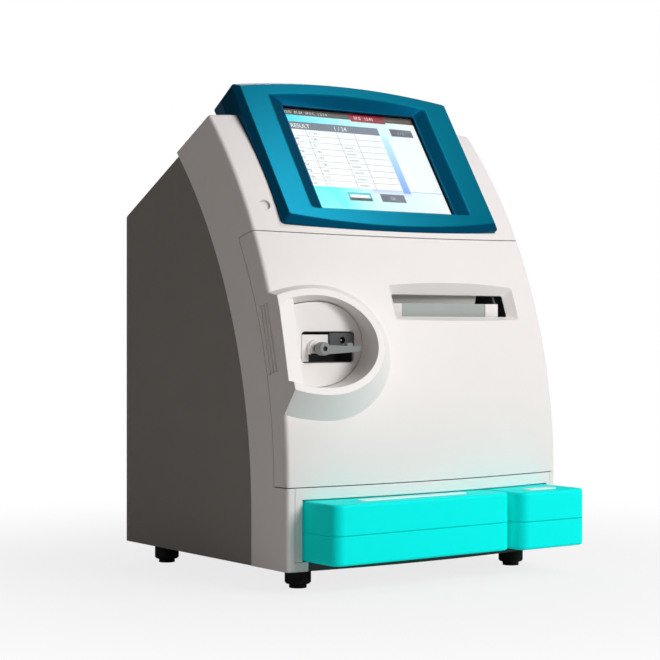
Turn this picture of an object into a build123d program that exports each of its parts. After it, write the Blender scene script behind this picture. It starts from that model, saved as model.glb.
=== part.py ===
"""Benchtop blood-gas analyzer, built as an assembly of separate sub-parts.

Everything is drawn with Z = 0 at the underside of the base tray and Y = 0 at the front corners of the
shell, +X to the right and +Y to the back, in millimetres. save() then stands it on its feet, with the
origin in the middle of the footprint.
"""

from build123d import *
import os
from math import asin, atan2, cos, degrees, pi, radians, sin, sqrt, tan

# ---------------------------------------------------------------- driving dimensions
# overall body
BODY_WIDTH = 342.0          # outside of the front shell
BODY_DEPTH = 310.5          # front corners to the back edge
BOW_RADIUS = 1000.0         # the front is bowed in plan
LEAN_RADIUS = 550.0         # the front leans back along this arc
LEAN_START = 80.0           # height where the arc starts
ROOF_SLOPE = 27.4           # degrees
SHELL_ROOF_HEIGHT = 355.9   # roof plane of the front shell, carried on to the back edge
REAR_ROOF_HEIGHT = 351.2    # rear housing at the back edge
SHELL_WALL = 3.2
REAR_WALL = 2.5
SHELL_EDGE_RADIUS = 4.0
REAR_EDGE_RADIUS = 5.0
REAR_SIDE_STEP = 1.0        # rear housing stands in from the front shell
REAR_SEAM_Y = 60.7          # boundary of shell and housing at the base
REAR_SEAM_RADIUS = 535.0    # the boundary curves back along this arc
REAR_SEAM_START = 50.0
SEAT = 0.3                  # gap where one piece seats on another
SEAM = 0.9                  # visible seam between panels
FOOT_HEIGHT = 20.0

# door and its hinge
DOOR_BOTTOM = 79.5
DOOR_TOP = 323.5            # at the front corners
DOOR_TOP_SAG = 6.6
DOOR_SIDE_DEPTH = 21.5      # how far the door wraps round the side at its bottom
DOOR_SIDE_RADIUS = 487.0
DOOR_CORNER_RADIUS = 2.5
HINGE_TOP_Y = 78.9
HINGE_TOP_Z = 311.0
HINGE_INSET = 5.0           # hinge axis in from the side face
BARREL_RADIUS = 7.1
BARREL_GAP = 0.3
PIN_RADIUS = 2.5
PIN_RUNNING_GAP = 0.05
PIN_REACH = 10.0
LUG_RADIUS = 5.0
CATCH_Y = 42.0
CATCH_Z = 200.0
CATCH_SIZE = (11.0, 15.0, 22.0)
STRIKE_SIZE = (3.0, 15.0, 12.0)
STRIKE_PAD = 8.0            # the part of the strike that is fixed to the door
STRIKE_RELIEF = 0.4         # the rest stands off the wall

# sample bowl in the door; places in X count from the middle of the sampler panel
STATION_INSET = 51.0        # left side face to the middle of the sampler panel
RING_PLACE = (-11.0, -3.1, 217.1)
RING_LEAN = 19.0
RING_YAW = 7.0
RING_HALF = (67.0, 82.0, 53.5)      # half widths to the right and to the left, and half height
RING_LIP = 7.0
BOSS_PLACE = (-1.0, 11.8, 206.2)
BOSS_LEAN = 13.4
BOSS_HALF = (75.5, 105.0, 67.0)
BOSS_ROOT = 6.0
STRIP_PLACE = -34.0         # straight left edge of the bowl
STRIP_FOOT_Y = -2.5
STRIP_FOOT_Z = 181.7
STRIP_LEAN = 12.7
PANEL_FACE_Y = 20.0
PANEL_CENTRE_Z = 213.8
PANEL_HALF = (53.0, 80.0, 41.6)
PANEL_GAP = 0.6
PANEL_WALL = 3.0
PANEL_CORNER_RADIUS = 3.0
BOWL_WALL = 2.6
BOWL_BACK_Y = 22.0
BOWL_MOUTH = 30.0           # how far the bowl's cut runs on, before the ring and behind the opening
BOWL_RELIEF = 2.0           # wider by this behind the opening

# printer recess in the door
SLOT_INSET = 120.0          # right side face to the middle of the recess
SLOT_CENTRE_Z = 256.5
SLOT_LEAN = 18.9
SLOT_OUTER = (187.0, 46.0)
SLOT_INNER = (153.0, 23.0)
SLOT_CORNERS = (3.0, 2.0)   # radii at the mouth and at the inner end
SLOT_INNER_DROP = 0.5
SLOT_DEPTH = 12.0
SLOT_PROUD = 3.0            # mouth plane in front of the skin
SLOT_MOUTH = 12.0           # how far the recess's cut runs on both ways
SLOT_WALL = 2.4

# grip ribs on the left side of the door
GRIP_CENTRE_Y = 30.0
GRIP_CENTRE_Z = 220.0
GRIP_LENGTH = 68.0
GRIP_WIDTH = 17.5
GRIP_DEPTH = 1.4
GRIP_LEAN = 14.4
RIB_COUNT = 4
RIB_WIDTH = 1.8
RIB_END_GAP = 1.0

# status lamp
LAMP_INSET = 21.0           # from the left side face
LAMP_Z = 350.0
LAMP_RADIUS = 5.2
LAMP_FLANGE = 7.5
LAMP_SINK = 2.2             # lens set back from the skin
LAMP_LENGTH = 8.0           # back of the lamp behind the skin

# display pod
POD_FOOT_Y = 47.7
POD_FOOT_Z = 336.8
POD_LEAN = 32.9
POD_INSET = 32.5            # side face to the pod's lower corner
POD_FLARE = 1.5             # the pod widens by this on each side towards its top
POD_LENGTH = 171.0
POD_TOP_ARC = 12.0
POD_BOTTOM_ARC = 10.0
POD_FRONT_DEPTH = 30.0
POD_DEPTH = 45.0
POD_CORNER_RADIUS = 4.0
POD_FACE_RADIUS = 1.5
POD_BEVEL = 6.0
POD_WALL = 3.0
RECESS_HALF_WIDTH = 103.5
RECESS_BOTTOM = 14.0
RECESS_TOP = 157.5
RECESS_TOP_ARC = 8.0
RECESS_DEPTH = 5.0
RECESS_CORNER_RADIUS = 4.0
RECESS_FLOOR_MARGIN = 2.0   # flat rim round the screen at the foot of the bevel
BEZEL_LIP = 2.0             # thickness of the bezel in front of the glass
SCREEN_WIDTH = 171.0
SCREEN_HEIGHT = 130.0
SCREEN_CENTRE = 83.0
SCREEN_WINDOW_GAP = 0.5
GLASS_THICKNESS = 2.0
GLASS_MARGIN = 6.0
GLASS_CORNER_RADIUS = 2.0
GLASS_AIR = 0.5             # air between glass and panel
PANEL_MARGIN = 5.0
PANEL_THICKNESS = 9.0
BOARD_THICKNESS = 1.6
DISPLAY_POST = 6.0          # length of the posts under the display board
DISPLAY_POST_INSET = 12.0
DISPLAY_BOARD_INSET = 4.0
POST_RADIUS = 3.0
DISPLAY_CHIPS = ((-40, 54, 30, 8), (30, 54, 40, 6), (10, 99, 24, 24))     # x, v, width, height
CHIP_HEIGHT = 3.5
CABLE_SLOT = (60.0, 22.0)
CABLE_SLOT_V = 49.0
POD_VENT = (14.0, 3.0)
POD_VENT_PITCH = 20.0
POD_VENT_COUNT = 6
POD_VENT_DROP = 12.0        # below the pod's upper corners

# reagent bay and packs
BAY_INSET_LEFT = 15.8       # side face to the mouth of the bay
BAY_INSET_RIGHT = 14.0
BAY_TOP = 67.6
BAY_FRAME_INSET = 8.0
BAY_FRAME_BOTTOM = 8.8
LEG_WIDTH = 22.0
LINER_WALL = 1.5
LINER_HEADROOM = 0.6        # the liner's ceiling above the mouth of the bay
LINER_SET_BACK = 1.0
LINER_BACK_Y = 232.0
PACK_SIDE_GAP = 1.6
PACK_GAP = 3.7
PACK_BOTTOM = 9.4
PACK_TOP = 66.5
PACK_SPLIT = 37.3
PACK_SPLIT_GAP = 0.8
PACK_WALL = 2.0
PACK_CORNER_RADIUS = 11.0
PACK_EDGE_RADIUS = 3.0
PACK_BACK_Y = 195.0
PACK_TONGUE = 3.0           # reach of the upper half's tongue below the middle of the split
PACK_RIB = 1.2              # thickness of the tongue
PACK_LEDGE = 0.5            # reach of its ledge into the wall
SMALL_PACK_WIDTH = 89.0
LARGE_PACK_FRONT = -53.7
SMALL_PACK_FRONT = -64.0
GRIP_RECESS_DEPTH = 1.6
GRIP_RECESS_WIDTH = 12.0
GRIP_RECESS_SETBACK = 22.0
LARGE_RECESS = 132.0
SMALL_RECESS = 40.0
POUCH_GAP = 2.5
POUCH_FRONT_GAP = 16.0
POUCH_BACK_GAP = 5.0
POUCH_HEADROOM = 4.0
POUCH_RADIUS = 6.0
LARGE_POUCHES = 4
SMALL_POUCHES = 2
RAIL_WIDTH = 14.0
DOCK_THICKNESS = 22.0
DOCK_GAP = 1.0              # packs pushed home to the dock
DOCK_MARGIN = 6.0
DOCK_HEADROOM = 10.0
NEEDLE_RADIUS = 1.6
NEEDLE_REACH = 4.0          # into the port
PORT_RADIUS = 6.0
PORT_FLANGE = 2.0
PORT_LENGTH = 7.0
PORT_FLOOR = 2.0
PORT_BORE_GAP = 0.5
PORT_Z = 22.0
LARGE_PORTS = 4
SMALL_PORTS = 2

# base
TRAY_FLOOR = 3.0
TRAY_FLANGE = 18.0
TRAY_SHEET = 2.0
TRAY_LIP = 8.6
TRAY_LIP_SET_BACK = 1.0
TRAY_FLANGE_START = 10.0    # behind the seam of shell and housing
FOOT_RADIUS = 12.75
FOOT_TIP_RADIUS = 8.5
FOOT_TIP_HEIGHT = 4.0
FOOT_CHAMFER = 1.5
FOOT_FRONT = (34.0, 31.0)   # in from the side face, and Y
FOOT_REAR = (26.0, 46.5)    # in from the side face, and forward of the back edge
FOOT_SCREW_RADIUS = 2.5
FOOT_SCREW_HEAD = (4.5, 2.5)
SCREW_RADIUS = 1.5
SCREW_HEAD = (2.85, 1.6)    # radius and height
SCREW_SLOT = (0.8, 0.7)     # width and depth
SCREW_HOLE_GAP = 0.2
BACK_SCREWS_Z = (40.0, 170.0, 320.0)

# instrument plate and what it carries; places in X count from the middle of the sampler panel
PLATE_Y = 92.0
PLATE_THICKNESS = 3.0
PLATE_INSET = 15.0
PLATE_TOP = 300.0
PLATE_FOOT = 25.0
PLATE_NOTCH = (-40.0, 25.0)
PLATE_NOTCH_HEIGHT = 18.0
BRACKET_SHEET = 2.0
BRACKET_WIDTH = 18.0
BRACKET_REACH = 60.0
BRACKET_OVERLAP = 12.0      # brackets reach down beside the tray's flanges
BRACKET_TOP_GAP = 30.0
BRACKET_FLANGE_GAP = 40.0
BLOCK_PLACE = (-26.0, 45.0)
BLOCK_Z = (179.0, 243.0)
BLOCK_RADIUS = 5.0
WINDOW_PLACE = (-20.6, 42.7)
WINDOW_Z = (195.9, 226.2)
WINDOW_RADIUS = 4.0
WINDOW_LEDGE = 1.0          # the well behind the window is smaller by this
WELL_DEPTH = 22.0
INSERT_SPLIT = 12.0
INSERT_SINK = 1.0
INSERT_TOP_GAP = 3.0
INSERT_CUT = (-7.0, 4.5)    # lower right of the insert cut away, from the lever's pin
DISC_FRONT_Y = 17.0
DISC_RADIUS = 9.0
DISC_STEP = (2.0, 1.0)      # narrower face of the disc: smaller by, and proud by
PORT_PROUD = 1.0
PORT_DROP = 1.5             # foot of the port block above the lever's pin
PORT_MOUTH_RADIUS = 3.4
PORT_MOUTH_DEPTH = 5.0
LEVER_PLACE = -4.5
LEVER_Z = 209.7
LEVER_Y = (3.0, 12.0)
LEVER_HUB_RADIUS = 6.4
LEVER_HUB_EDGE = 1.0
LEVER_LENGTH = 42.0
LEVER_ROOT_RADIUS = 4.6
LEVER_TIP_RADIUS = 2.6
LEVER_BAR_DROP = (1.0, 0.5) # root and tip of the bar below the pin
LEVER_BAR_INSET = 1.5
NUB_SIZE = (7.0, 6.0, 2.4)
NUB_PLACE = (-11.0, 2.5)    # from the tip
NUB_INSET = 2.0
LEVER_PIN_RADIUS = 2.5
LEVER_PIN_SINK = 2.0
LEVER_PIN_REACH = 12.0
SPACER_WALL = 1.8
PROBE_PLACE = 27.5
PROBE_Z = 217.6
PROBE_RADIUS = 0.9
PROBE_TIP_Y = 21.0
PROBE_LENGTH = 40.0
PROBE_GUIDE_END = 2.0       # the guide stops short of the plate

# sensors, pump and tubes
SENSOR_PLACE = (-20.0, 58.0)
SENSOR_Z = (104.0, 146.0)
SENSOR_COUNT = 6
SENSOR_FRONT_Y = 62.0
SENSOR_RADIUS = 4.5
SENSOR_GAP = 0.2
SENSOR_WELL = 20.0
SENSOR_LENGTH = 25.0
SENSOR_PROUD = 6.0
SENSOR_CAP = (0.8, 6.5, 1.0)        # wider by, length and proud by
SENSOR_EDGE = 3.0
TUBE_RADIUS = 1.6
TUBE_ORBIT = 20.6
TUBE_START = 12.0
TUBE_PITCH = 18.0
TUBE_COUNT = 3
TUBE_DROP = 4.8             # cross tube below the top of the sensor block
PUMP_X = -12.0
PUMP_Z = 150.0
PUMP_RADIUS = 27.0
PUMP_FRONT_Y = 66.0
PUMP_FLOOR = 4.0
PUMP_SHAFT_RADIUS = 3.0
PUMP_SHAFT_REACH = 16.0     # behind the plate
PUMP_HUB_WALL = 3.0
PUMP_DISC = 2.0
PUMP_ROTOR_GAPS = (2.0, 6.0)        # rotor behind the pump's face and in front of the plate
PUMP_RIM = 1.0
ROLLER_RADIUS = 4.2
ROLLER_PIN_RADIUS = 1.5
ROLLER_ORBIT = 14.0
ROLLER_COUNT = 3
GEARBOX = (18.0, 14.0)      # radius and length
MOTOR = (14.0, 29.0)
SHAFT_HOLE_GAP = 4.0

# printer; places in X count from the middle of the recess
PRINTER_PLACE = (-84.0, 68.0)
PRINTER_Z = (232.0, 292.0)
PRINTER_FRONT_Y = 31.0
PRINTER_WALL = 3.0
BAR_THICKNESS = 2.5
BAR_BOTTOM = 237.0
BAR_TOP = 254.6
BAR_CHAMFER = 1.2
BAR_ENDS = (24.0, 18.0)     # widths of the clips at the left and the right end of the bar
CLIP_PROUD = 0.5
CLIP_TAB = 1.2              # tabs of the printer body behind the clips
CLIP_OVERLAP = 4.0          # the tabs reach this far behind the bar
CLIP_RADIUS = 1.0
CHEEK_LEAD = 12.0           # the cheeks' slope ends this far in front of the roll's axis
PAPER_WIDTH = 112.0
PAPER_RADIUS = 22.0
ROLL_Y = 65.0
ROLL_Z = 264.0
SPINDLE_RADIUS = 3.0
PLATEN_RADIUS = 5.5
PLATEN_PIN_RADIUS = 2.5
PLATEN_END_GAP = 1.0
PLATEN_PIN_SINK = 0.5
PLATEN_Y = 41.5
PLATEN_Z = 243.0

# electronics
SHELF_INSET = 21.0
SHELF_FRONT_GAP = 1.0       # behind the foot of the instrument plate
SHELF_BACK_INSET = 11.0
SUPPLY_INSET = (109.0, 25.0)        # from the right side face
SUPPLY_INSET_Y = (120.5, 30.5)      # from the back edge
SUPPLY_HEIGHT = 42.0
SUPPLY_RADIUS = 2.0
SUPPLY_SLOT = (50.0, 4.0, 1.5)
SUPPLY_SLOT_START = 14.0
SUPPLY_SLOT_PITCH = 10.0
SUPPLY_SLOT_COUNT = 6
POST_HEIGHT = 8.0
POST_INSET = 8.0
BOARD_INSET = 31.0          # from the left side face
BOARD_SUPPLY_GAP = 22.0     # from the board to the power supply
BOARD_DEPTH = 155.0
BOARD_BACK_INSET = 17.0
BOARD_PARTS = (             # x, y, width, depth, height
    (20.0, 20.0, 38.0, 38.0, 9.0), (75.0, 25.0, 24.0, 24.0, 3.0), (110.0, 20.0, 14.0, 60.0, 8.0),
    (30.0, 80.0, 60.0, 12.0, 6.0), (135.0, 15.0, 30.0, 10.0, 12.0), (110.0, 100.0, 16.0, 16.0, 14.0),
)
BOARD_ROOT = 0.5            # parts reach this far into their board
DATA_PORTS = (20.0, 55.0, 88.0)     # from the left edge of the board
DATA_PORT_SIZE = (17.0, 14.0)
DATA_PORT_WALL = 1.5
DATA_PORT_FLOOR = 6.0
DATA_PORT_INSET = 14.0      # in from the board's back edge
DATA_PORT_PROUD = 1.0

# back of the machine
LIP_WIDTH = 10.0
LIP_THICKNESS = 2.0
BACK_SETBACK = 4.0
BACK_SHEET = 2.0
FAN_SIZE = 80.0
FAN_THICKNESS = 25.0
FAN_INSET = 101.0           # from the left side face
FAN_Z = 245.0
FAN_BORE_RADIUS = 37.5
FAN_CORNER_RADIUS = 5.0
FAN_HUB_RADIUS = 16.0
FAN_BLADES = 7
FAN_SPIDER = 3.0
FAN_ARM = 5.0
FAN_PIN_RADIUS = 2.0
FAN_END_GAPS = (4.0, 4.0)   # rotor from both faces of the frame
BLADE_SHEET = 1.6
BLADE_CHORD = 17.0
BLADE_ANGLE = 38.0          # degrees
BLADE_TIP_GAP = 1.5
BLADE_ROOT = 2.0
GUARD_WIRE = 1.6
GUARD_RINGS = (1.0, 0.7, 0.4)       # radii, as parts of the fan's bore
GUARD_REACH = 7.0
GUARD_BAR = 2.0
INLET_PLACE = (76.0, 38.0)  # from the right side face, and height
INLET_SIZE = (28.0, 21.0)
INLET_BODY = 24.0
INLET_MOUTH = (24.0, 16.0)
INLET_DEPTH = 16.0
BLADE_PLACES = ((-7.0, -1.5), (0.0, 2.5), (7.0, -1.5))
BLADE_SIZE = (2.0, 12.0, 5.0)
FLANGE_WIDTH = 2.5
FLANGE_THICKNESS = 1.5
FLANGE_RADIUS = 2.0
SWITCH_PLACE = (39.0, 38.0)
SWITCH_SIZE = (21.0, 27.0)
SWITCH_BODY = 20.0
SWITCH_WELL = (16.0, 23.0)
SWITCH_WELL_DEPTH = 16.0
ROCKER_SIZE = (15.0, 20.2)
ROCKER_DEPTH = 6.0
ROCKER_EDGE = 1.5
ROCKER_RIM = 3.0
ROCKER_DISH = 1.0
ROCKER_AXIS_DEPTH = 5.5     # behind the outer face of the back panel
ROCKER_PIN_RADIUS = 1.5
ROCKER_TILT = 6.0
VENT_COUNT = 8
VENT_BOTTOM = 215.0
VENT_PITCH = 8.0
VENT_INSET = (141.0, 51.0)  # from the right side face

# ---------------------------------------------------------------- worked-out values
FAR = 900.0                 # longer than anything here, for cutting tools
TOOL_MARGIN = 40.0          # shorter reach of cutting tools past the model
BOW_SWEEP = 40.0            # degrees of the bowed cutting tool
HALF = BODY_WIDTH / 2
BOW_AXIS_Y = sqrt(BOW_RADIUS**2 - HALF**2)
BOW_MID_Y = BOW_AXIS_Y - BOW_RADIUS
BACK_PANEL_Y = BODY_DEPTH - BACK_SETBACK
BACK_FACE_Y = BACK_PANEL_Y + BACK_SHEET
LIP_Y = BACK_PANEL_Y - LIP_THICKNESS
INNER_HALF = HALF - SHELL_WALL - SEAT
REAR_HALF = HALF - REAR_SIDE_STEP
REAR_INNER_HALF = REAR_HALF - REAR_WALL

STATION_X = -HALF + STATION_INSET
RING_CENTRE = (STATION_X + RING_PLACE[0], RING_PLACE[1], RING_PLACE[2])
BOSS_CENTRE = (STATION_X + BOSS_PLACE[0], BOSS_PLACE[1], BOSS_PLACE[2])
STRIP_EDGE_X = STATION_X + STRIP_PLACE
BLOCK_X = (STATION_X + BLOCK_PLACE[0], STATION_X + BLOCK_PLACE[1])
WINDOW_X = (STATION_X + WINDOW_PLACE[0], STATION_X + WINDOW_PLACE[1])
INSERT_SPLIT_X = STATION_X + INSERT_SPLIT
LEVER_X = STATION_X + LEVER_PLACE
PROBE_X = STATION_X + PROBE_PLACE
SENSOR_X = (STATION_X + SENSOR_PLACE[0], STATION_X + SENSOR_PLACE[1])
SENSOR_MIDDLE_Z = (SENSOR_Z[0] + SENSOR_Z[1]) / 2
WELL_FLOOR_Y = PANEL_FACE_Y + PANEL_WALL + SEAT + WELL_DEPTH

LAMP_X = -HALF + LAMP_INSET
POD_HALF_WIDTH = HALF - POD_INSET
GLASS_DEPTH = RECESS_DEPTH + BEZEL_LIP
PANEL_DEPTH = GLASS_DEPTH + GLASS_THICKNESS + GLASS_AIR
SLOT_CENTRE_X = HALF - SLOT_INSET
PRINTER_X = (SLOT_CENTRE_X + PRINTER_PLACE[0], SLOT_CENTRE_X + PRINTER_PLACE[1])

BAY_LEFT = -HALF + BAY_INSET_LEFT
BAY_RIGHT = HALF - BAY_INSET_RIGHT
BAY_FRAME_HALF_WIDTH = HALF - BAY_FRAME_INSET
LEG_INNER_X = HALF - LEG_WIDTH
SMALL_PACK_X = (BAY_RIGHT - PACK_SIDE_GAP - SMALL_PACK_WIDTH, BAY_RIGHT - PACK_SIDE_GAP)
LARGE_PACK_X = (BAY_LEFT + PACK_SIDE_GAP, SMALL_PACK_X[0] - PACK_GAP)
PACK_MIDDLE_X = (LARGE_PACK_X[1] + SMALL_PACK_X[0]) / 2
LINER_TOP = BAY_TOP + LINER_HEADROOM + LINER_WALL
FRONT_REACH = min(LARGE_PACK_FRONT, SMALL_PACK_FRONT)
MIDDLE_Y = (FRONT_REACH + BODY_DEPTH) / 2

PLATE_HALF_WIDTH = HALF - PLATE_INSET
PLATE_BACK_Y = PLATE_Y + PLATE_THICKNESS
SHELF_HALF = HALF - SHELF_INSET
SHELF_BACK_Y = BODY_DEPTH - SHELF_BACK_INSET
SHELF_TOP = LINER_TOP + TRAY_SHEET
SUPPLY_X = (HALF - SUPPLY_INSET[0], HALF - SUPPLY_INSET[1])
SUPPLY_Y = (BODY_DEPTH - SUPPLY_INSET_Y[0], BODY_DEPTH - SUPPLY_INSET_Y[1])
BOARD_X = (-HALF + BOARD_INSET, SUPPLY_X[0] - BOARD_SUPPLY_GAP)
BOARD_BACK_Y = BODY_DEPTH - BOARD_BACK_INSET
BOARD_Y = (BOARD_BACK_Y - BOARD_DEPTH, BOARD_BACK_Y)
DATA_PORT_Z = SHELF_TOP + POST_HEIGHT + BOARD_THICKNESS + DATA_PORT_SIZE[1] / 2
FAN_CENTRE = (-HALF + FAN_INSET, FAN_Z)
INLET_CENTRE = (HALF - INLET_PLACE[0], INLET_PLACE[1])
SWITCH_CENTRE = (HALF - SWITCH_PLACE[0], SWITCH_PLACE[1])
ROCKER_AXIS_Y = BACK_FACE_Y - ROCKER_AXIS_DEPTH
VENT_X = (HALF - VENT_INSET[0], HALF - VENT_INSET[1])

HINGE_X = HALF - HINGE_INSET
HINGE_FOOT = Vector(HINGE_X, DOOR_SIDE_DEPTH, DOOR_BOTTOM)
HINGE_AXIS = (Vector(HINGE_X, HINGE_TOP_Y, HINGE_TOP_Z) - HINGE_FOOT).normalized()
HINGE_TILT = degrees(atan2(HINGE_AXIS.Y, HINGE_AXIS.Z))
BARREL_START = BARREL_RADIUS * tan(radians(HINGE_TILT)) + BARREL_GAP


# ---------------------------------------------------------------- helpers
def block(x, y, z):
    """Box between three pairs of limits."""
    size = (x[1] - x[0], y[1] - y[0], z[1] - z[0])
    return Pos((x[0] + x[1]) / 2, (y[0] + y[1]) / 2, (z[0] + z[1]) / 2) * Box(*size)


def rod(start, direction, radius, length):
    """Round bar from a point along a direction."""
    foot = (Align.CENTER, Align.CENTER, Align.MIN)
    return Plane(origin=start, z_dir=direction) * Cylinder(radius, length, align=foot)


def pipe(start, direction, outer, inner, length):
    """Round tube from a point along a direction."""
    return rod(start, direction, outer, length) - rod(start, direction, inner, length)


def side_solid(outline, x_low, x_high):
    """Extrude an outline drawn in (Y, Z) between two X values."""
    return Pos(x_low, 0, 0) * extrude(Plane.YZ * outline, amount=x_high - x_low)


def front_solid(outline, y_low, y_high):
    """Extrude an outline drawn in (X, Z) between two Y values."""
    plane = Plane(origin=(0, y_low, 0), x_dir=(1, 0, 0), z_dir=(0, -1, 0))
    return extrude(plane * outline, amount=-(y_high - y_low))


def upright(centre, size, y_low, y_high, grow=0.0):
    """Block drawn from its centre and size in (X, Z), between two Y values."""
    half_x, half_z = size[0] / 2 + grow, size[1] / 2 + grow
    return block(
        (centre[0] - half_x, centre[0] + half_x), (y_low, y_high), (centre[1] - half_z, centre[1] + half_z)
    )


def uneven_oval(halves, grow=0.0):
    """Oval drawn from two half ellipses: halves gives its reach to the right, to the left and up."""
    right, left, height = (half + grow for half in halves)
    right_arc = EllipticalCenterArc((0, 0), right, height, -90, arc_size=180)
    left_arc = EllipticalCenterArc((0, 0), left, height, 90, arc_size=180)
    return make_face(Curve() + [right_arc, left_arc])


def front_arc_y(z, inset=0.0):
    """Y of the front skin on the middle plane at height z."""
    if z <= LEAN_START:
        return BOW_MID_Y + inset
    return BOW_MID_Y + LEAN_RADIUS - sqrt((LEAN_RADIUS - inset) ** 2 - (z - LEAN_START) ** 2)


def skin_y(x, z, inset=0.0):
    """Y of the bowed and leaning front skin."""
    radius = BOW_AXIS_Y - front_arc_y(z, inset)
    return BOW_AXIS_Y - sqrt(radius**2 - x**2)


def behind_front(inset=0.0):
    """Everything behind the front skin, with the skin moved back by inset."""
    low, top = -FOOT_HEIGHT, POD_FOOT_Z + POD_LENGTH * cos(radians(POD_LEAN))
    far_y = BODY_DEPTH + TOOL_MARGIN
    start = (front_arc_y(0, inset), LEAN_START)
    half_way = (LEAN_START + top) / 2
    arc = ThreePointArc(start, (front_arc_y(half_way, inset), half_way), (front_arc_y(top, inset), top))
    line = Polyline((front_arc_y(top, inset), top), (far_y, top), (far_y, low), (start[0], low), start)
    axis = Axis((0, BOW_AXIS_Y, 0), (0, 0, 1))
    ring = revolve(Plane.YZ * make_face(Curve() + [arc, line]), axis, revolution_arc=BOW_SWEEP)
    return ring.rotate(axis, -BOW_SWEEP / 2)


def under_roof(height_at_back, drop=0.0):
    """(Y, Z) outline under a sloping roof, lowered square to the slope by drop."""
    slope = tan(radians(ROOF_SLOPE))
    back = height_at_back - drop / cos(radians(ROOF_SLOPE))
    front_y = FRONT_REACH - TOOL_MARGIN
    return make_face(
        Polyline(
            (front_y, 0), (BODY_DEPTH, 0), (BODY_DEPTH, back),
            (front_y, back + slope * (BODY_DEPTH - front_y)), close=True,
        )
    )


def rear_zone(gap=0.0):
    """(Y, Z) outline of what lies behind the boundary of shell and rear housing."""
    arc = Pos(REAR_SEAM_Y + REAR_SEAM_RADIUS, REAR_SEAM_START) * Circle(REAR_SEAM_RADIUS - gap)
    low = Pos(REAR_SEAM_Y + gap, REAR_SEAM_START) * Rectangle(FAR, FAR, align=(Align.MIN, Align.MAX))
    return arc + low


def hinge_point(distance):
    """Point on the hinge axis, measured from its foot."""
    return HINGE_FOOT + HINGE_AXIS * distance


def hinge_rod(radius, low, high):
    """Round bar on the hinge axis."""
    return rod(hinge_point(low), HINGE_AXIS, radius, high - low)


# ---------------------------------------------------------------- shell, door and bay frame
def body_blocks():
    """Outside and inside of the light front mouldings, before they are cut apart."""
    outside = side_solid(under_roof(SHELL_ROOF_HEIGHT), -HALF, HALF) & behind_front()
    side_edges = [
        e for e in outside.edges()
        if abs(abs(e.center().X) - HALF) < 0.01 and e.center().Z > 1 and e.center().Y < BODY_DEPTH - 1
    ]
    roof_edge = [
        e for e in outside.edges()
        if abs(e.center().X) < 1 and e.center().Z > POD_FOOT_Z and e.center().Y < BODY_DEPTH - 1
    ]
    outside = fillet(side_edges + roof_edge, SHELL_EDGE_RADIUS)
    inside = side_solid(
        under_roof(SHELL_ROOF_HEIGHT, SHELL_WALL), -HALF + SHELL_WALL, HALF - SHELL_WALL
    ) & behind_front(SHELL_WALL)
    return outside, inside


def door_zone(grow=0.0):
    """Space that belongs to the door, grown by the seam on every side."""
    top_slope = tan(radians(HINGE_TILT))
    corner_y = skin_y(HALF, DOOR_TOP)
    front_y = FRONT_REACH - TOOL_MARGIN
    top_raise = grow / cos(radians(HINGE_TILT))

    def top_z(y):
        return DOOR_TOP + top_raise - top_slope * (y - corner_y)

    far_y = BODY_DEPTH
    low = DOOR_BOTTOM - grow
    under_top = make_face(
        Polyline((front_y, low), (far_y, low), (far_y, top_z(far_y)), (front_y, top_z(front_y)), close=True)
    )
    disc = Pos(DOOR_SIDE_DEPTH + DOOR_SIDE_RADIUS, LEAN_START) * Circle(DOOR_SIDE_RADIUS - grow)
    left_outline = Sketch() + [f for f in (under_top - disc).faces() if f.center().X < DOOR_SIDE_DEPTH * 2]
    rear_corner = left_outline.vertices().sort_by(Axis.X)[-1]
    left_outline = fillet(rear_corner, DOOR_CORNER_RADIUS)
    behind = Pos(HINGE_FOOT.Y + grow, HINGE_FOOT.Z) * Rot(0, 0, -HINGE_TILT) * Rectangle(
        FAR, 2 * FAR, align=(Align.MIN, Align.CENTER)
    )
    right_outline = under_top - behind
    zone = side_solid(left_outline, -FAR, 0) + side_solid(right_outline, 0, FAR)
    return zone - above_door_top(grow)


def above_door_top(raise_by=0.0):
    """Space above the sagging top edge of the door."""
    foot = Vector(0, skin_y(HALF, DOOR_TOP), DOOR_TOP)
    plane = Plane(origin=foot, x_dir=(1, 0, 0), z_dir=Vector(1, 0, 0).cross(HINGE_AXIS))
    arc = ThreePointArc((-HALF, raise_by), (0, raise_by - DOOR_TOP_SAG), (HALF, raise_by))
    rest = Polyline((HALF, raise_by), (HALF, FAR), (-HALF, FAR), (-HALF, raise_by))
    return extrude(plane * make_face(Curve() + [arc, rest]), amount=FAR / 2, both=True)


def outward_direction(lean, yaw):
    """Direction out of the front, leant upwards and turned to the right by angles in degrees."""
    lean, yaw = radians(lean), radians(yaw)
    return Vector(sin(yaw) * cos(lean), -cos(yaw) * cos(lean), sin(lean))


def facing(origin, lean, yaw):
    """Plane that faces out of the front, leant and turned by angles in degrees."""
    across = (cos(radians(yaw)), sin(radians(yaw)), 0)
    return Plane(origin=origin, x_dir=across, z_dir=outward_direction(lean, yaw))


def ring_plane():
    """Plane of the raised ring round the sample bowl, facing out of the door."""
    return facing(RING_CENTRE, RING_LEAN, -RING_YAW)


def boss_plane():
    """Plane of the foot of the ring, close to the door's surface."""
    return facing(BOSS_CENTRE, BOSS_LEAN, -RING_YAW)


def panel_plane(y=PANEL_FACE_Y):
    """Upright plane round the middle of the sampler panel, facing forward."""
    return facing((STATION_X, y, PANEL_CENTRE_Z), 0, 0)


def bowl_funnel(grow, mouth, back_y):
    """Funnel from the ring to the opening round the sampler panel, grown by a wall."""
    rim = ring_plane() * uneven_oval(RING_HALF, grow - RING_LIP)
    back = panel_plane(back_y) * uneven_oval(PANEL_HALF, grow)
    funnel = loft(Sketch() + [rim.face(), back.face()])
    if mouth > 0:
        funnel = funnel + extrude(rim, amount=mouth) + extrude(back, amount=-mouth)
    return funnel


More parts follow.
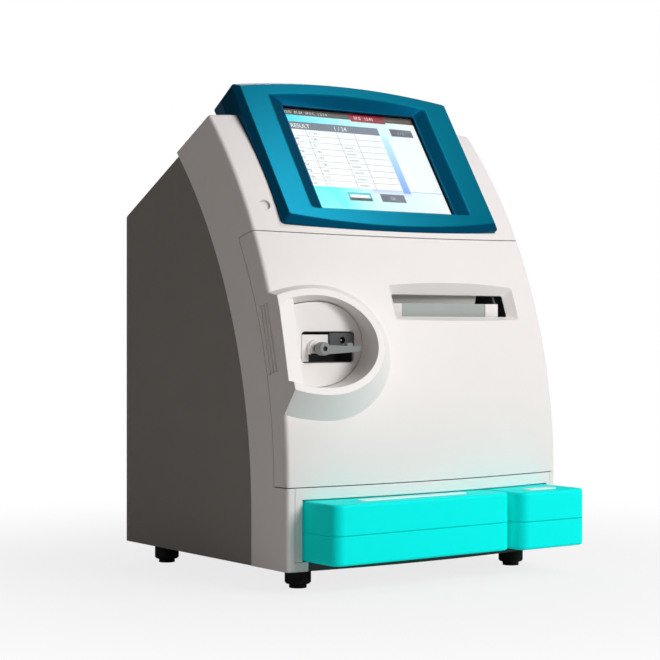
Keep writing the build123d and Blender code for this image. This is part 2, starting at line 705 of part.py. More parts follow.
def bowl_cavity():
    """The bowl itself: a funnel with a straight left edge and a lowered strip beside it."""
    funnel = bowl_funnel(0, BOWL_MOUTH, BOWL_BACK_Y)
    right = funnel & block((STRIP_EDGE_X, FAR), (-FAR, FAR), (-FAR, FAR))
    strip = facing((STRIP_EDGE_X, STRIP_FOOT_Y, STRIP_FOOT_Z), STRIP_LEAN, 0)
    ahead = strip * Box(BODY_WIDTH, BODY_WIDTH, FAR, align=(Align.CENTER, Align.CENTER, Align.MIN))
    left = funnel & block((-FAR, STRIP_EDGE_X), (-FAR, FAR), (-FAR, FAR)) & ahead
    return right + left


def bowl_relief():
    """Clearance behind the bowl, so that the door swings clear of the sampler panel."""
    oval = panel_plane(BOWL_BACK_Y) * uneven_oval(PANEL_HALF, BOWL_RELIEF)
    right_of_edge = block((STRIP_EDGE_X - BOWL_RELIEF, FAR), (-FAR, FAR), (-FAR, FAR))
    return extrude(oval, amount=-BOWL_MOUTH) & right_of_edge


def slot_funnel(grow, through):
    """Bevelled recess in front of the printer, square to the door's skin and grown by a wall."""
    yaw = degrees(asin(SLOT_CENTRE_X / BOW_RADIUS))
    centre = Vector(SLOT_CENTRE_X, skin_y(SLOT_CENTRE_X, SLOT_CENTRE_Z), SLOT_CENTRE_Z)
    skin = facing(centre, SLOT_LEAN, yaw)
    mouth_plane = facing(centre + skin.z_dir * SLOT_PROUD, SLOT_LEAN, yaw)
    deep = centre - skin.z_dir * SLOT_DEPTH - skin.y_dir * SLOT_INNER_DROP
    mouth = mouth_plane * RectangleRounded(
        SLOT_OUTER[0] + 2 * grow, SLOT_OUTER[1] + 2 * grow, SLOT_CORNERS[0]
    )
    inner = facing(deep, SLOT_LEAN, yaw) * RectangleRounded(
        SLOT_INNER[0] + 2 * grow, SLOT_INNER[1] + 2 * grow, SLOT_CORNERS[1]
    )
    funnel = loft(Sketch() + [mouth.face(), inner.face()])
    if through > 0:
        funnel = funnel + extrude(inner, amount=-through) + extrude(mouth, amount=through)
    return funnel


def grip_ribs():
    """Pocket in the left side of the door with upright ribs standing in it."""
    place = Pos(-HALF, GRIP_CENTRE_Y, GRIP_CENTRE_Z) * Rot(-GRIP_LEAN, 0, 0)
    pocket = Box(2 * GRIP_DEPTH, GRIP_WIDTH, GRIP_LENGTH)
    pitch = (GRIP_WIDTH - RIB_WIDTH) / (RIB_COUNT - 1)
    for index in range(RIB_COUNT):
        y = -GRIP_WIDTH / 2 + RIB_WIDTH / 2 + index * pitch
        pocket -= Pos(0, y, 0) * Box(4 * GRIP_DEPTH, RIB_WIDTH, GRIP_LENGTH - 2 * RIB_END_GAP)
    return place * pocket


def door(outside, inside):
    """Curved door with its sample bowl, printer recess, grip and hinge barrel."""
    skin = (outside - inside) & door_zone()
    foot = boss_plane() * uneven_oval(BOSS_HALF)
    crown = ring_plane() * uneven_oval(RING_HALF)
    boss = loft(Sketch() + [foot.face(), crown.face()]) + extrude(foot, amount=-BOSS_ROOT)
    within = block((-HALF, HALF), (-FAR, FAR), (-FAR, FAR))
    sleeve = bowl_funnel(BOWL_WALL, 0, BOWL_BACK_Y)
    body = skin + (boss & within) + (sleeve & within) + (slot_funnel(SLOT_WALL, 0) & outside)
    body = body - bowl_cavity() - bowl_relief() - slot_funnel(0, SLOT_MOUTH) - grip_ribs()
    top = hinge_length()
    clear = BARREL_RADIUS + BARREL_GAP
    body = body - hinge_rod(clear, -TOOL_MARGIN, BARREL_START) - hinge_rod(clear, top, top + TOOL_MARGIN)
    barrel = hinge_rod(BARREL_RADIUS, BARREL_START, top) & within
    bore = PIN_RADIUS + PIN_RUNNING_GAP
    body = body + barrel
    body = body - hinge_rod(bore, BARREL_START - 1, BARREL_START + PIN_REACH + 1)
    return body - hinge_rod(bore, top - PIN_REACH - 1, top + 1)


def hinge_length():
    """Distance from the hinge foot to the top edge of the door, along the axis."""
    corner = Vector(HINGE_X, skin_y(HALF, DOOR_TOP), DOOR_TOP)
    return (corner - HINGE_FOOT).dot(HINGE_AXIS) - BARREL_GAP


def pod_plane(depth=0.0):
    """Plane of the display pod's face, moved into the pod by depth."""
    foot = Vector(0, POD_FOOT_Y, POD_FOOT_Z)
    return facing(foot - outward_direction(POD_LEAN, 0) * depth, POD_LEAN, 0)


def pod_outline(grow=0.0):
    """Face of the display pod: bowed top and bottom, a little wider at the top, with rounded corners."""
    half, top_half, top = POD_HALF_WIDTH + grow, POD_HALF_WIDTH + POD_FLARE + grow, POD_LENGTH + grow
    upper = ThreePointArc((-top_half, top), (0, top + POD_TOP_ARC), (top_half, top))
    lower = ThreePointArc((half, -grow), (0, -grow - POD_BOTTOM_ARC), (-half, -grow))
    sides = [Line((top_half, top), (half, -grow)), Line((-half, -grow), (-top_half, top))]
    face = make_face(Curve() + [upper, lower] + sides)
    return fillet(face.vertices(), max(POD_CORNER_RADIUS + grow, POD_FACE_RADIUS))


def pod_prism(grow, depth, thickness):
    """Prism of the pod's outline, from a depth behind its face."""
    return extrude(pod_plane(depth) * pod_outline(grow), amount=-thickness)


def front_shell(outside, inside):
    """Light arch that holds the door, the display and the bay frame."""
    shell = (outside - inside) - side_solid(rear_zone(), -FAR, FAR)
    shell -= door_zone(SEAM)
    frame_half = BAY_FRAME_HALF_WIDTH
    shell -= block((-frame_half, frame_half), (-FAR, REAR_SEAM_Y), (BAY_FRAME_BOTTOM, DOOR_BOTTOM))
    shell -= block((-LEG_INNER_X, LEG_INNER_X), (-FAR, REAR_SEAM_Y), (-1, BAY_FRAME_BOTTOM + 1))
    shell -= pod_prism(SEAT, -POD_LENGTH, POD_LENGTH + POD_DEPTH + SEAT)
    top = hinge_length()
    shell -= hinge_rod(BARREL_RADIUS + BARREL_GAP, BARREL_START - SEAM, top + SEAM)
    lug = hinge_rod(LUG_RADIUS, top + SEAM, top + SEAM + PIN_REACH)
    lug += hinge_rod(LUG_RADIUS, BARREL_START - SEAM - PIN_REACH, BARREL_START - SEAM)
    shell += lug & block((0, HALF), (-FAR, FAR), (-FAR, FAR))
    shell -= hinge_rod(PIN_RADIUS, top, top + SEAM + PIN_REACH - 1)
    shell -= hinge_rod(PIN_RADIUS, BARREL_START - SEAM - PIN_REACH + 1, BARREL_START)
    return shell - lamp_rod(LAMP_RADIUS + SEAT, -LAMP_LENGTH, SHELL_WALL * 2)


def lamp_rod(radius, low, high):
    """Round bar square to the shell at the status lamp, from low to high behind the skin."""
    skin = Vector(LAMP_X, skin_y(LAMP_X, LAMP_Z), LAMP_Z)
    lean = asin((LAMP_Z - LEAN_START) / LEAN_RADIUS)
    to_axis = (Vector(0, BOW_AXIS_Y, LAMP_Z) - skin).normalized()
    inward = to_axis * cos(lean) - Vector(0, 0, sin(lean))
    return rod(skin + inward * low, inward, radius, high - low)


def status_lamp():
    """Lamp lens sunk in its round recess, with a flange behind the shell."""
    lens = lamp_rod(LAMP_RADIUS, LAMP_SINK, LAMP_LENGTH)
    return lens + lamp_rod(LAMP_FLANGE, SHELL_WALL + SEAT, LAMP_LENGTH)


def hinge_pins():
    """Two stub pins, each held in a lug of the shell."""
    top = hinge_length()
    low = hinge_rod(PIN_RADIUS, BARREL_START - SEAM - PIN_REACH + 1, BARREL_START + PIN_REACH)
    return low + hinge_rod(PIN_RADIUS, top - PIN_REACH, top + SEAM + PIN_REACH - 1)


def bay_frame(outside, inside):
    """Inset frame round the mouth of the reagent bay, open at the bottom."""
    half = BAY_FRAME_HALF_WIDTH - SEAT
    frame = (outside - inside) & block(
        (-half, half), (-FAR, REAR_SEAM_Y), (BAY_FRAME_BOTTOM + SEAT, DOOR_BOTTOM - SEAM)
    )
    return frame - block((BAY_LEFT, BAY_RIGHT), (-FAR, FAR), (-1, BAY_TOP))


# ---------------------------------------------------------------- rear housing and base
def rear_housing():
    """Dark cover: two sides and a sloping roof, with a lip for the back panel."""
    body = side_solid(under_roof(REAR_ROOF_HEIGHT) & rear_zone(SEAM), -REAR_HALF, REAR_HALF)
    seam_limit = REAR_SEAM_Y + (BODY_DEPTH - REAR_SEAM_Y) / 3
    rounded = [
        e for e in body.edges()
        if e.center().Z > 1 and e.center().Y > seam_limit
        and (abs(abs(e.center().X) - REAR_HALF) < 0.01 or e.center().Y > BODY_DEPTH - 0.01)
    ]
    body = fillet(rounded, REAR_EDGE_RADIUS)
    inner = side_solid(under_roof(REAR_ROOF_HEIGHT, REAR_WALL), -REAR_INNER_HALF, REAR_INNER_HALF)
    body -= inner & block((-FAR, FAR), (-FAR, LIP_Y), (-1, FAR))
    body -= inner & block((-FAR, FAR), (BACK_PANEL_Y, FAR), (-1, FAR))
    mouth_half = REAR_INNER_HALF - LIP_WIDTH
    mouth = side_solid(under_roof(REAR_ROOF_HEIGHT, REAR_WALL + LIP_WIDTH), -mouth_half, mouth_half)
    body -= mouth & block((-FAR, FAR), (LIP_Y - 1, FAR), (-1, FAR))
    for x, z in back_screw_places():
        body -= rod((x, LIP_Y - 1, z), (0, 1, 0), SCREW_RADIUS, LIP_THICKNESS + 2)
    return body


def back_sheet(y_low, y_high, margin):
    """Upright sheet with the outline of the back panel."""
    half = REAR_INNER_HALF - margin
    sheet = side_solid(under_roof(REAR_ROOF_HEIGHT, REAR_WALL + margin), -half, half)
    return sheet & block((-FAR, FAR), (y_low, y_high), (TRAY_FLOOR + margin, FAR))


def back_screw_places():
    """Where the back panel is screwed to the lip of the housing."""
    x = REAR_INNER_HALF - LIP_WIDTH / 2
    return [(side * x, z) for side in (-1, 1) for z in BACK_SCREWS_Z]


def back_panel():
    """Rear sheet with openings for the fan, the power inlet, the switch and the ports."""
    panel = back_sheet(BACK_PANEL_Y, BACK_FACE_Y, SEAT)
    cuts = rod((FAN_CENTRE[0], 0, FAN_CENTRE[1]), (0, 1, 0), FAN_BORE_RADIUS, FAR)
    cuts += upright(INLET_CENTRE, INLET_SIZE, 0, FAR, SEAT)
    cuts += upright(SWITCH_CENTRE, SWITCH_SIZE, 0, FAR, SEAT)
    for centre in data_port_places():
        cuts += upright(centre, DATA_PORT_SIZE, 0, FAR, SEAT)
    for index in range(VENT_COUNT):
        z = VENT_BOTTOM + index * VENT_PITCH
        cuts += block(VENT_X, (0, FAR), (z, z + VENT_PITCH / 2))
    for x, z in back_screw_places():
        cuts += rod((x, 0, z), (0, 1, 0), SCREW_RADIUS + SCREW_HOLE_GAP, FAR)
    return panel - cuts


def back_screws():
    """Pan-head screws that hold the back panel."""
    screws = []
    radius, height = SCREW_HEAD
    width, depth = SCREW_SLOT
    for x, z in back_screw_places():
        head = rod((x, BACK_FACE_Y, z), (0, 1, 0), radius, height)
        head -= upright((x, z), (2 * radius, width), BACK_FACE_Y + height - depth, FAR)
        screws.append(head + rod((x, LIP_Y, z), (0, 1, 0), SCREW_RADIUS, BACK_FACE_Y - LIP_Y))
    return screws


def base_tray():
    """Floor of the machine, with side flanges and an upturned lip under the packs."""
    back = LIP_Y - SEAT
    slab = block((-INNER_HALF, INNER_HALF), (-FAR, back), (0, TRAY_FLOOR))
    tray = slab & behind_front(SHELL_WALL + SEAT)
    mouth_half = LEG_INNER_X - SEAT
    outer_nose = behind_front(TRAY_LIP_SET_BACK)
    inner_nose = behind_front(TRAY_LIP_SET_BACK + TRAY_SHEET)
    nose = block((-mouth_half, mouth_half), (-FAR, REAR_SEAM_Y), (0, TRAY_LIP)) & outer_nose
    tray += nose - (block((-FAR, FAR), (-FAR, FAR), (TRAY_FLOOR, FAR)) & inner_nose)
    outer = REAR_INNER_HALF - SEAT
    flange_y = (REAR_SEAM_Y + TRAY_FLANGE_START, back)
    tray += block((-outer, -outer + TRAY_SHEET), flange_y, (0, TRAY_FLANGE))
    tray += block((outer - TRAY_SHEET, outer), flange_y, (0, TRAY_FLANGE))
    tray += block((-outer, outer), (back - TRAY_SHEET, back), (0, TRAY_FLANGE))
    for x, y in foot_places():
        tray -= rod((x, y, -1), (0, 0, 1), FOOT_SCREW_RADIUS + SCREW_HOLE_GAP, TRAY_FLOOR + 2)
    return tray


def foot_places():
    """(X, Y) of the four feet."""
    front = (HALF - FOOT_FRONT[0], FOOT_FRONT[1])
    rear = (HALF - FOOT_REAR[0], BODY_DEPTH - FOOT_REAR[1])
    return [(side * x, y) for x, y in (front, rear) for side in (-1, 1)]


def feet():
    """Rubber feet, each with a narrower tip."""
    solids = []
    drum_height = FOOT_HEIGHT - FOOT_TIP_HEIGHT
    for x, y in foot_places():
        tip = rod((x, y, -FOOT_HEIGHT), (0, 0, 1), FOOT_TIP_RADIUS, FOOT_TIP_HEIGHT)
        drum = rod((x, y, -drum_height), (0, 0, 1), FOOT_RADIUS, drum_height)
        drum = chamfer(drum.edges().sort_by(Axis.Z)[0], FOOT_CHAMFER)
        hole = rod((x, y, -FOOT_HEIGHT / 2), (0, 0, 1), FOOT_SCREW_RADIUS, FOOT_HEIGHT)
        solids.append(drum + tip - hole)
    return solids


def screws():
    """Every visible screw: those of the back panel and those of the feet."""
    return back_screws() + foot_screws()


def foot_screws():
    """Screws that clamp the feet to the tray, heads inside."""
    solids = []
    radius, height = FOOT_SCREW_HEAD
    for x, y in foot_places():
        shank = rod((x, y, -FOOT_HEIGHT / 2), (0, 0, 1), FOOT_SCREW_RADIUS, FOOT_HEIGHT / 2 + TRAY_FLOOR)
        solids.append(shank + rod((x, y, TRAY_FLOOR), (0, 0, 1), radius, height))
    return solids


# ---------------------------------------------------------------- reagent bay
def bay_liner():
    """Folded tunnel that guides the packs, with a wall between them."""
    front_y = SHELL_WALL + SEAT + LINER_SET_BACK
    ceiling = LINER_TOP - LINER_WALL
    outer_x = (BAY_LEFT - LINER_WALL, BAY_RIGHT + LINER_WALL)
    tunnel = block(outer_x, (front_y, LINER_BACK_Y), (TRAY_FLOOR, LINER_TOP))
    tunnel -= block((BAY_LEFT, BAY_RIGHT), (-FAR, FAR), (0, ceiling))
    wall_x = (PACK_MIDDLE_X - LINER_WALL / 2, PACK_MIDDLE_X + LINER_WALL / 2)
    return tunnel + block(wall_x, (front_y, LINER_BACK_Y), (TRAY_FLOOR, LINER_TOP))


def pack_rails():
    """Low rails on the tray that the packs slide on."""
    rails = []
    y_limits = (FOOT_FRONT[1] + 3 * FOOT_SCREW_RADIUS, PACK_BACK_Y)
    inset = PACK_CORNER_RADIUS + RAIL_WIDTH
    for x_low, x_high in (LARGE_PACK_X, SMALL_PACK_X):
        for x in (x_low + PACK_CORNER_RADIUS, x_high - inset):
            rails.append(block((x, x + RAIL_WIDTH), y_limits, (TRAY_FLOOR, PACK_BOTTOM - SEAT)))
    return rails


def pack_outline(x_limits, front_y, inset=0.0):
    """Plan of a reagent pack, rounded at the two front corners."""
    x_low, x_high = x_limits[0] + inset, x_limits[1] - inset
    y_low, y_high = front_y + inset, PACK_BACK_Y - inset
    corners = ((x_low, y_low), (x_high, y_low), (x_high, y_high), (x_low, y_high))
    face = make_face(Polyline(*corners, close=True))
    front = face.vertices().group_by(Axis.Y)[0]
    return fillet(front, PACK_CORNER_RADIUS - inset)


def pack_half(x_limits, front_y, z_limits, open_top):
    """One half of a pack: a tub that is open towards the other half."""
    z_low, z_high = z_limits
    body = extrude(Pos(0, 0, z_low) * pack_outline(x_limits, front_y), amount=z_high - z_low)
    outer_z = z_low if open_top else z_high
    rim = [e for e in body.edges() if abs(e.center().Z - outer_z) < 0.01]
    body = fillet([e for e in rim if e.center().Y < PACK_BACK_Y - 1], PACK_EDGE_RADIUS)
    cavity = extrude(Pos(0, 0, z_low) * pack_outline(x_limits, front_y, PACK_WALL), amount=z_high - z_low)
    lift = PACK_WALL if open_top else -PACK_WALL
    return body - Pos(0, 0, lift) * cavity


def grip_slot(x_limits, front_y, length, grow=0.0):
    """Outline of the long hollow on top of a pack, behind its front edge."""
    x, y = sum(x_limits) / 2, front_y + GRIP_RECESS_SETBACK
    outline = SlotOverall(length + 2 * grow, GRIP_RECESS_WIDTH + 2 * grow)
    return Pos(x, y, PACK_TOP - GRIP_RECESS_DEPTH) * outline


def port_places(x_limits, count):
    """X of the ports across the back of a pack."""
    step = (x_limits[1] - x_limits[0]) / (count + 1)
    return [x_limits[0] + step * (index + 1) for index in range(count)]


def pack_lower(x_limits, front_y, ports):
    """Lower half of a pack, with holes in its back for the ports."""
    body = pack_half(x_limits, front_y, (PACK_BOTTOM, PACK_SPLIT - PACK_SPLIT_GAP / 2), True)
    for x in port_places(x_limits, ports):
        body -= rod((x, PACK_BACK_Y - PORT_LENGTH, PORT_Z), (0, 1, 0), PORT_RADIUS, FAR)
    return body


def pack_upper(x_limits, front_y, recess):
    """Upper half of a pack, with a hollow to grip it and a tongue that fits the lower half."""
    split = PACK_SPLIT + PACK_SPLIT_GAP / 2
    body = pack_half(x_limits, front_y, (split, PACK_TOP), False)
    tongue_z = PACK_SPLIT - PACK_TONGUE
    inner = PACK_WALL + SEAT + PACK_RIB
    tongue = Pos(0, 0, tongue_z) * pack_outline(x_limits, front_y, PACK_WALL + SEAT)
    ledge = Pos(0, 0, split) * pack_outline(x_limits, front_y, PACK_WALL - PACK_LEDGE)
    body += extrude(tongue, amount=split - tongue_z + PACK_RIB) + extrude(ledge, amount=PACK_RIB) - extrude(
        Pos(0, 0, tongue_z - 1) * pack_outline(x_limits, front_y, inner), amount=FAR
    )
    thickening = extrude(grip_slot(x_limits, front_y, recess, PACK_WALL), amount=-PACK_WALL)
    thickening += extrude(grip_slot(x_limits, front_y, recess, PACK_WALL), amount=GRIP_RECESS_DEPTH / 2)
    return body + thickening - extrude(grip_slot(x_limits, front_y, recess), amount=GRIP_RECESS_DEPTH + 1)


def pack_pouches(x_limits, front_y, count):
    """Flexible reagent pouches, side by side in the pack."""
    left, right = x_limits[0] + PACK_WALL, x_limits[1] - PACK_WALL
    width = (right - left) / count
    y_limits = (front_y + POUCH_FRONT_GAP, PACK_BACK_Y - PORT_LENGTH - POUCH_BACK_GAP)
    z_limits = (PACK_BOTTOM + PACK_WALL + SEAT, PACK_TOP - PACK_WALL - POUCH_HEADROOM)
    pouches = []
    for index in range(count):
        x_low = left + index * width
        pouch = block((x_low + POUCH_GAP, x_low + width - POUCH_GAP), y_limits, z_limits)
        pouches.append(fillet(pouch.edges(), POUCH_RADIUS))
    return pouches


def pack_ports(x_limits, ports):
    """Septum fittings in the back of a pack."""
    fittings = []
    start = PACK_BACK_Y - PORT_LENGTH
    for x in port_places(x_limits, ports):
        body = rod((x, start, PORT_Z), (0, 1, 0), PORT_RADIUS, PORT_LENGTH)
        flange = rod((x, start, PORT_Z), (0, 1, 0), PORT_RADIUS + PORT_FLANGE, PORT_LENGTH - PACK_WALL)
        bore = rod((x, start + PORT_FLOOR, PORT_Z), (0, 1, 0), NEEDLE_RADIUS + PORT_BORE_GAP, PORT_LENGTH)
        fittings.append(body + flange - bore)
    return fittings


def all_port_places():
    """X of every port, in both packs."""
    return port_places(LARGE_PACK_X, LARGE_PORTS) + port_places(SMALL_PACK_X, SMALL_PORTS)


def dock_manifold():
    """Block behind the packs that their ports plug on to, standing on the tray."""
    y_low = PACK_BACK_Y + DOCK_GAP
    x_limits = (LARGE_PACK_X[0] + DOCK_MARGIN, SMALL_PACK_X[1] - DOCK_MARGIN)
    manifold = block(x_limits, (y_low, y_low + DOCK_THICKNESS), (TRAY_FLOOR, BAY_TOP - DOCK_HEADROOM))
    gap = LINER_WALL / 2 + SEAT
    manifold -= block((PACK_MIDDLE_X - gap, PACK_MIDDLE_X + gap), (-FAR, FAR), (-1, FAR))
    for x in all_port_places():
        manifold -= rod((x, y_low - 1, PORT_Z), (0, 1, 0), NEEDLE_RADIUS, DOCK_THICKNESS / 2 + 1)
    return manifold


def dock_needles():
    """Steel needles that enter the ports."""
    y_start = PACK_BACK_Y - NEEDLE_REACH
    y_end = PACK_BACK_Y + DOCK_GAP + DOCK_THICKNESS / 2
    return [
        pipe((x, y_start, PORT_Z), (0, 1, 0), NEEDLE_RADIUS, NEEDLE_RADIUS / 2, y_end - y_start)
        for x in all_port_places()
    ]


# ---------------------------------------------------------------- display
def recess_outline():
    """Outline of the bevelled recess round the screen."""
    half, top, low = RECESS_HALF_WIDTH, RECESS_TOP, RECESS_BOTTOM
    upper = ThreePointArc((-half, top), (0, top + RECESS_TOP_ARC), (half, top))
    rest = Polyline((half, top), (half, low), (-half, low), (-half, top))
    return fillet(make_face(Curve() + [upper, rest]).vertices(), RECESS_CORNER_RADIUS)


def screen_rectangle(margin, radius):
    """Rectangle round the visible screen."""
    face = RectangleRounded(SCREEN_WIDTH + 2 * margin, SCREEN_HEIGHT + 2 * margin, radius)
    return Pos(0, SCREEN_CENTRE) * face


def display_bezel():
    """Front moulding of the display pod, bevelled all round, with a bevelled recess round the screen."""
    face = pod_plane() * pod_outline(-POD_BEVEL)
    shoulder = pod_plane(POD_BEVEL) * pod_outline()
    body = loft(Sketch() + [face.face(), shoulder.face()])
    body += pod_prism(0, POD_BEVEL, POD_FRONT_DEPTH - POD_BEVEL)
    body -= pod_prism(-POD_WALL, GLASS_DEPTH, POD_DEPTH)
    floor = screen_rectangle(RECESS_FLOOR_MARGIN, RECESS_CORNER_RADIUS)
    bevel = loft(Sketch() + [
        (pod_plane() * recess_outline()).face(), (pod_plane(RECESS_DEPTH) * floor).face(),
    ])
    window = screen_rectangle(SCREEN_WINDOW_GAP, 2 * SCREEN_WINDOW_GAP)
    return body - bevel - extrude(pod_plane(-1) * window, amount=-(GLASS_DEPTH + 2))


def display_back():
    """Rear cover of the display pod, with a cable opening and vent slots."""
    cover = pod_prism(0, POD_FRONT_DEPTH + SEAT, POD_DEPTH - POD_FRONT_DEPTH - SEAT)
    cover -= pod_prism(-POD_WALL, POD_FRONT_DEPTH, POD_DEPTH - POD_FRONT_DEPTH - POD_WALL)
    openings = Pos(0, CABLE_SLOT_V) * SlotOverall(*CABLE_SLOT)
    for index in range(POD_VENT_COUNT):
        x = (index - (POD_VENT_COUNT - 1) / 2) * POD_VENT_PITCH
        openings += Pos(x, POD_LENGTH - POD_VENT_DROP) * SlotOverall(*POD_VENT)
    return cover - extrude(pod_plane(POD_FRONT_DEPTH) * openings, amount=-POD_DEPTH)


def touch_glass():
    """Glass behind the bezel."""
    face = screen_rectangle(GLASS_MARGIN, GLASS_CORNER_RADIUS)
    return extrude(pod_plane(GLASS_DEPTH) * face, amount=-GLASS_THICKNESS)


def display_panel():
    """Liquid-crystal panel behind the glass."""
    face = screen_rectangle(PANEL_MARGIN, GLASS_CORNER_RADIUS / 2)
    return extrude(pod_plane(PANEL_DEPTH) * face, amount=-PANEL_THICKNESS)


def display_posts():
    """Places of the four posts that carry the display board."""
    x, y = SCREEN_WIDTH / 2 - DISPLAY_POST_INSET, SCREEN_HEIGHT / 2 - DISPLAY_POST_INSET
    return [(i * x, SCREEN_CENTRE + j * y) for i in (-1, 1) for j in (-1, 1)]


def display_board():
    """Circuit board on posts behind the panel, with its connectors."""
    depth = PANEL_DEPTH + PANEL_THICKNESS
    face = screen_rectangle(-DISPLAY_BOARD_INSET, GLASS_CORNER_RADIUS)
    board = extrude(pod_plane(depth + DISPLAY_POST) * face, amount=-BOARD_THICKNESS)
    for place in display_posts():
        post = Pos(*place) * Circle(POST_RADIUS)
        board += extrude(pod_plane(depth) * post, amount=-(DISPLAY_POST + BOARD_ROOT))
    under = depth + DISPLAY_POST + BOARD_THICKNESS - BOARD_ROOT
    for x, v, width, height in DISPLAY_CHIPS:
        chip = Pos(x, v) * Rectangle(width, height)
        board += extrude(pod_plane(under) * chip, amount=-(BOARD_ROOT + CHIP_HEIGHT))
    return board


# ---------------------------------------------------------------- instrument plate
def instrument_plate():
    """Upright steel plate behind the door, with feet that stand on the bay liner."""
    x_limits = (-PLATE_HALF_WIDTH, PLATE_HALF_WIDTH)
    plate = block(x_limits, (PLATE_Y, PLATE_BACK_Y), (LINER_TOP, PLATE_TOP))
    plate += block(x_limits, (PLATE_Y, PLATE_Y + PLATE_FOOT), (LINER_TOP, LINER_TOP + BRACKET_SHEET))
    plate -= rod((PUMP_X, 0, PUMP_Z), (0, 1, 0), PUMP_SHAFT_RADIUS + SHAFT_HOLE_GAP, FAR)
    notch_x = (STATION_X + PLATE_NOTCH[0], STATION_X + PLATE_NOTCH[1])
    plate -= block(notch_x, (0, FAR), (PLATE_TOP - PLATE_NOTCH_HEIGHT, FAR))
    return [plate] + plate_brackets()


def plate_brackets():
    """Angle brackets that brace the plate from behind, beside the tray's flanges."""
    brackets = []
    foot_z = TRAY_FLANGE - BRACKET_OVERLAP
    x_out = REAR_INNER_HALF - SEAT - TRAY_SHEET
    web = make_face(Polyline(
        (PLATE_BACK_Y, foot_z), (PLATE_BACK_Y + BRACKET_REACH, foot_z),
        (PLATE_BACK_Y, PLATE_TOP - BRACKET_TOP_GAP), close=True,
    ))
    flange_y = (PLATE_BACK_Y, PLATE_BACK_Y + BRACKET_SHEET)
    flange_z = (LINER_TOP + BRACKET_SHEET, PLATE_TOP - BRACKET_FLANGE_GAP)
    for side in (-1, 1):
        bracket = side_solid(web, *sorted((side * (x_out - BRACKET_SHEET), side * x_out)))
        bracket += block(sorted((side * (x_out - BRACKET_WIDTH), side * x_out)), flange_y, flange_z)
        brackets.append(bracket)
    return brackets


def sampler_block():
    """Housing behind the sampler panel, bolted to the instrument plate."""
    front_y = PANEL_FACE_Y + PANEL_WALL + SEAT
    body = block(BLOCK_X, (front_y, PLATE_Y), BLOCK_Z)
    body = fillet(body.edges().filter_by(Axis.Y), BLOCK_RADIUS)
    body -= upright(window_centre(), window_size(), 0, WELL_FLOOR_Y, -WINDOW_LEDGE)
    bore = PROBE_RADIUS + PIN_RUNNING_GAP
    body -= rod((PROBE_X, 0, PROBE_Z), (0, 1, 0), bore, PLATE_Y - PROBE_GUIDE_END)
    return body - rod((LEVER_X, 0, LEVER_Z), (0, 1, 0), LEVER_PIN_RADIUS, WELL_FLOOR_Y + LEVER_PIN_REACH)


def window_centre():
    """Middle of the sampler's window, in (X, Z)."""
    return (WINDOW_X[0] + WINDOW_X[1]) / 2, (WINDOW_Z[0] + WINDOW_Z[1]) / 2


def window_size():
    """Width and height of the sampler's window."""
    return WINDOW_X[1] - WINDOW_X[0], WINDOW_Z[1] - WINDOW_Z[0]


def sampler_panel():
    """White D-shaped panel with the window of the sample station."""
    right_of_edge = Pos(STRIP_PLACE + PANEL_GAP, 0) * Rectangle(FAR, FAR, align=(Align.MIN, Align.CENTER))
    outline = Sketch() + (uneven_oval(PANEL_HALF, -PANEL_GAP) & right_of_edge)
    outline = fillet(outline.vertices().group_by(Axis.X)[0], PANEL_CORNER_RADIUS)
    panel = extrude(panel_plane() * outline, amount=-PANEL_WALL)
    window = front_solid(RectangleRounded(*window_size(), WINDOW_RADIUS), 0, FAR)
    x, z = window_centre()
    return panel - Pos(x, 0, z) * window


def sampler_insert():
    """White block in the window, with a round disc behind the lever."""
    back_y = WELL_FLOOR_Y - SEAT
    body = block(
        (WINDOW_X[0] + WINDOW_LEDGE + SEAT, INSERT_SPLIT_X - SEAT), (PANEL_FACE_Y + INSERT_SINK, back_y),
        (WINDOW_Z[0] + WINDOW_LEDGE + SEAT, WINDOW_Z[1] - INSERT_TOP_GAP),
    )
    step, proud = DISC_STEP
    body += rod((LEVER_X, DISC_FRONT_Y, LEVER_Z), (0, 1, 0), DISC_RADIUS, back_y - DISC_FRONT_Y)
    body += rod((LEVER_X, DISC_FRONT_Y - proud, LEVER_Z), (0, 1, 0), DISC_RADIUS - step, 2 * proud)
    body -= block((LEVER_X + INSERT_CUT[0], FAR), (0, FAR), (0, LEVER_Z - INSERT_CUT[1]))
    return body - rod((LEVER_X, 0, LEVER_Z), (0, 1, 0), LEVER_PIN_RADIUS + PIN_RUNNING_GAP, FAR)


def sampler_port():
    """Dark block with the round sample port, guiding the probe."""
    fit = WINDOW_LEDGE + SEAT
    body = block(
        (INSERT_SPLIT_X + SEAT, WINDOW_X[1] - fit), (PANEL_FACE_Y - PORT_PROUD, WELL_FLOOR_Y - SEAT),
        (LEVER_Z + PORT_DROP, WINDOW_Z[1] - fit),
    )
    body -= rod((PROBE_X, 0, PROBE_Z), (0, 1, 0), PORT_MOUTH_RADIUS, PANEL_FACE_Y + PORT_MOUTH_DEPTH)
    return body - rod((PROBE_X, 0, PROBE_Z), (0, 1, 0), PROBE_RADIUS + PIN_RUNNING_GAP, FAR)


def sample_probe():
    """Steel needle that comes forward out of the port when the lever is raised."""
    return pipe((PROBE_X, PROBE_TIP_Y, PROBE_Z), (0, 1, 0), PROBE_RADIUS, PROBE_RADIUS / 2, PROBE_LENGTH)


def lever_pivot():
    """Pin of the sample lever, pressed into the sampler block, and the spacer on it."""
    start = LEVER_Y[0] + LEVER_PIN_SINK
    length = WELL_FLOOR_Y + LEVER_PIN_REACH - start
    pin = rod((LEVER_X, start, LEVER_Z), (0, 1, 0), LEVER_PIN_RADIUS, length)
    low, high = LEVER_Y[1] + SEAT, DISC_FRONT_Y - DISC_STEP[1]
    outer = LEVER_PIN_RADIUS + SPACER_WALL
    return [pin, pipe((LEVER_X, low, LEVER_Z), (0, 1, 0), outer, LEVER_PIN_RADIUS, high - low)]


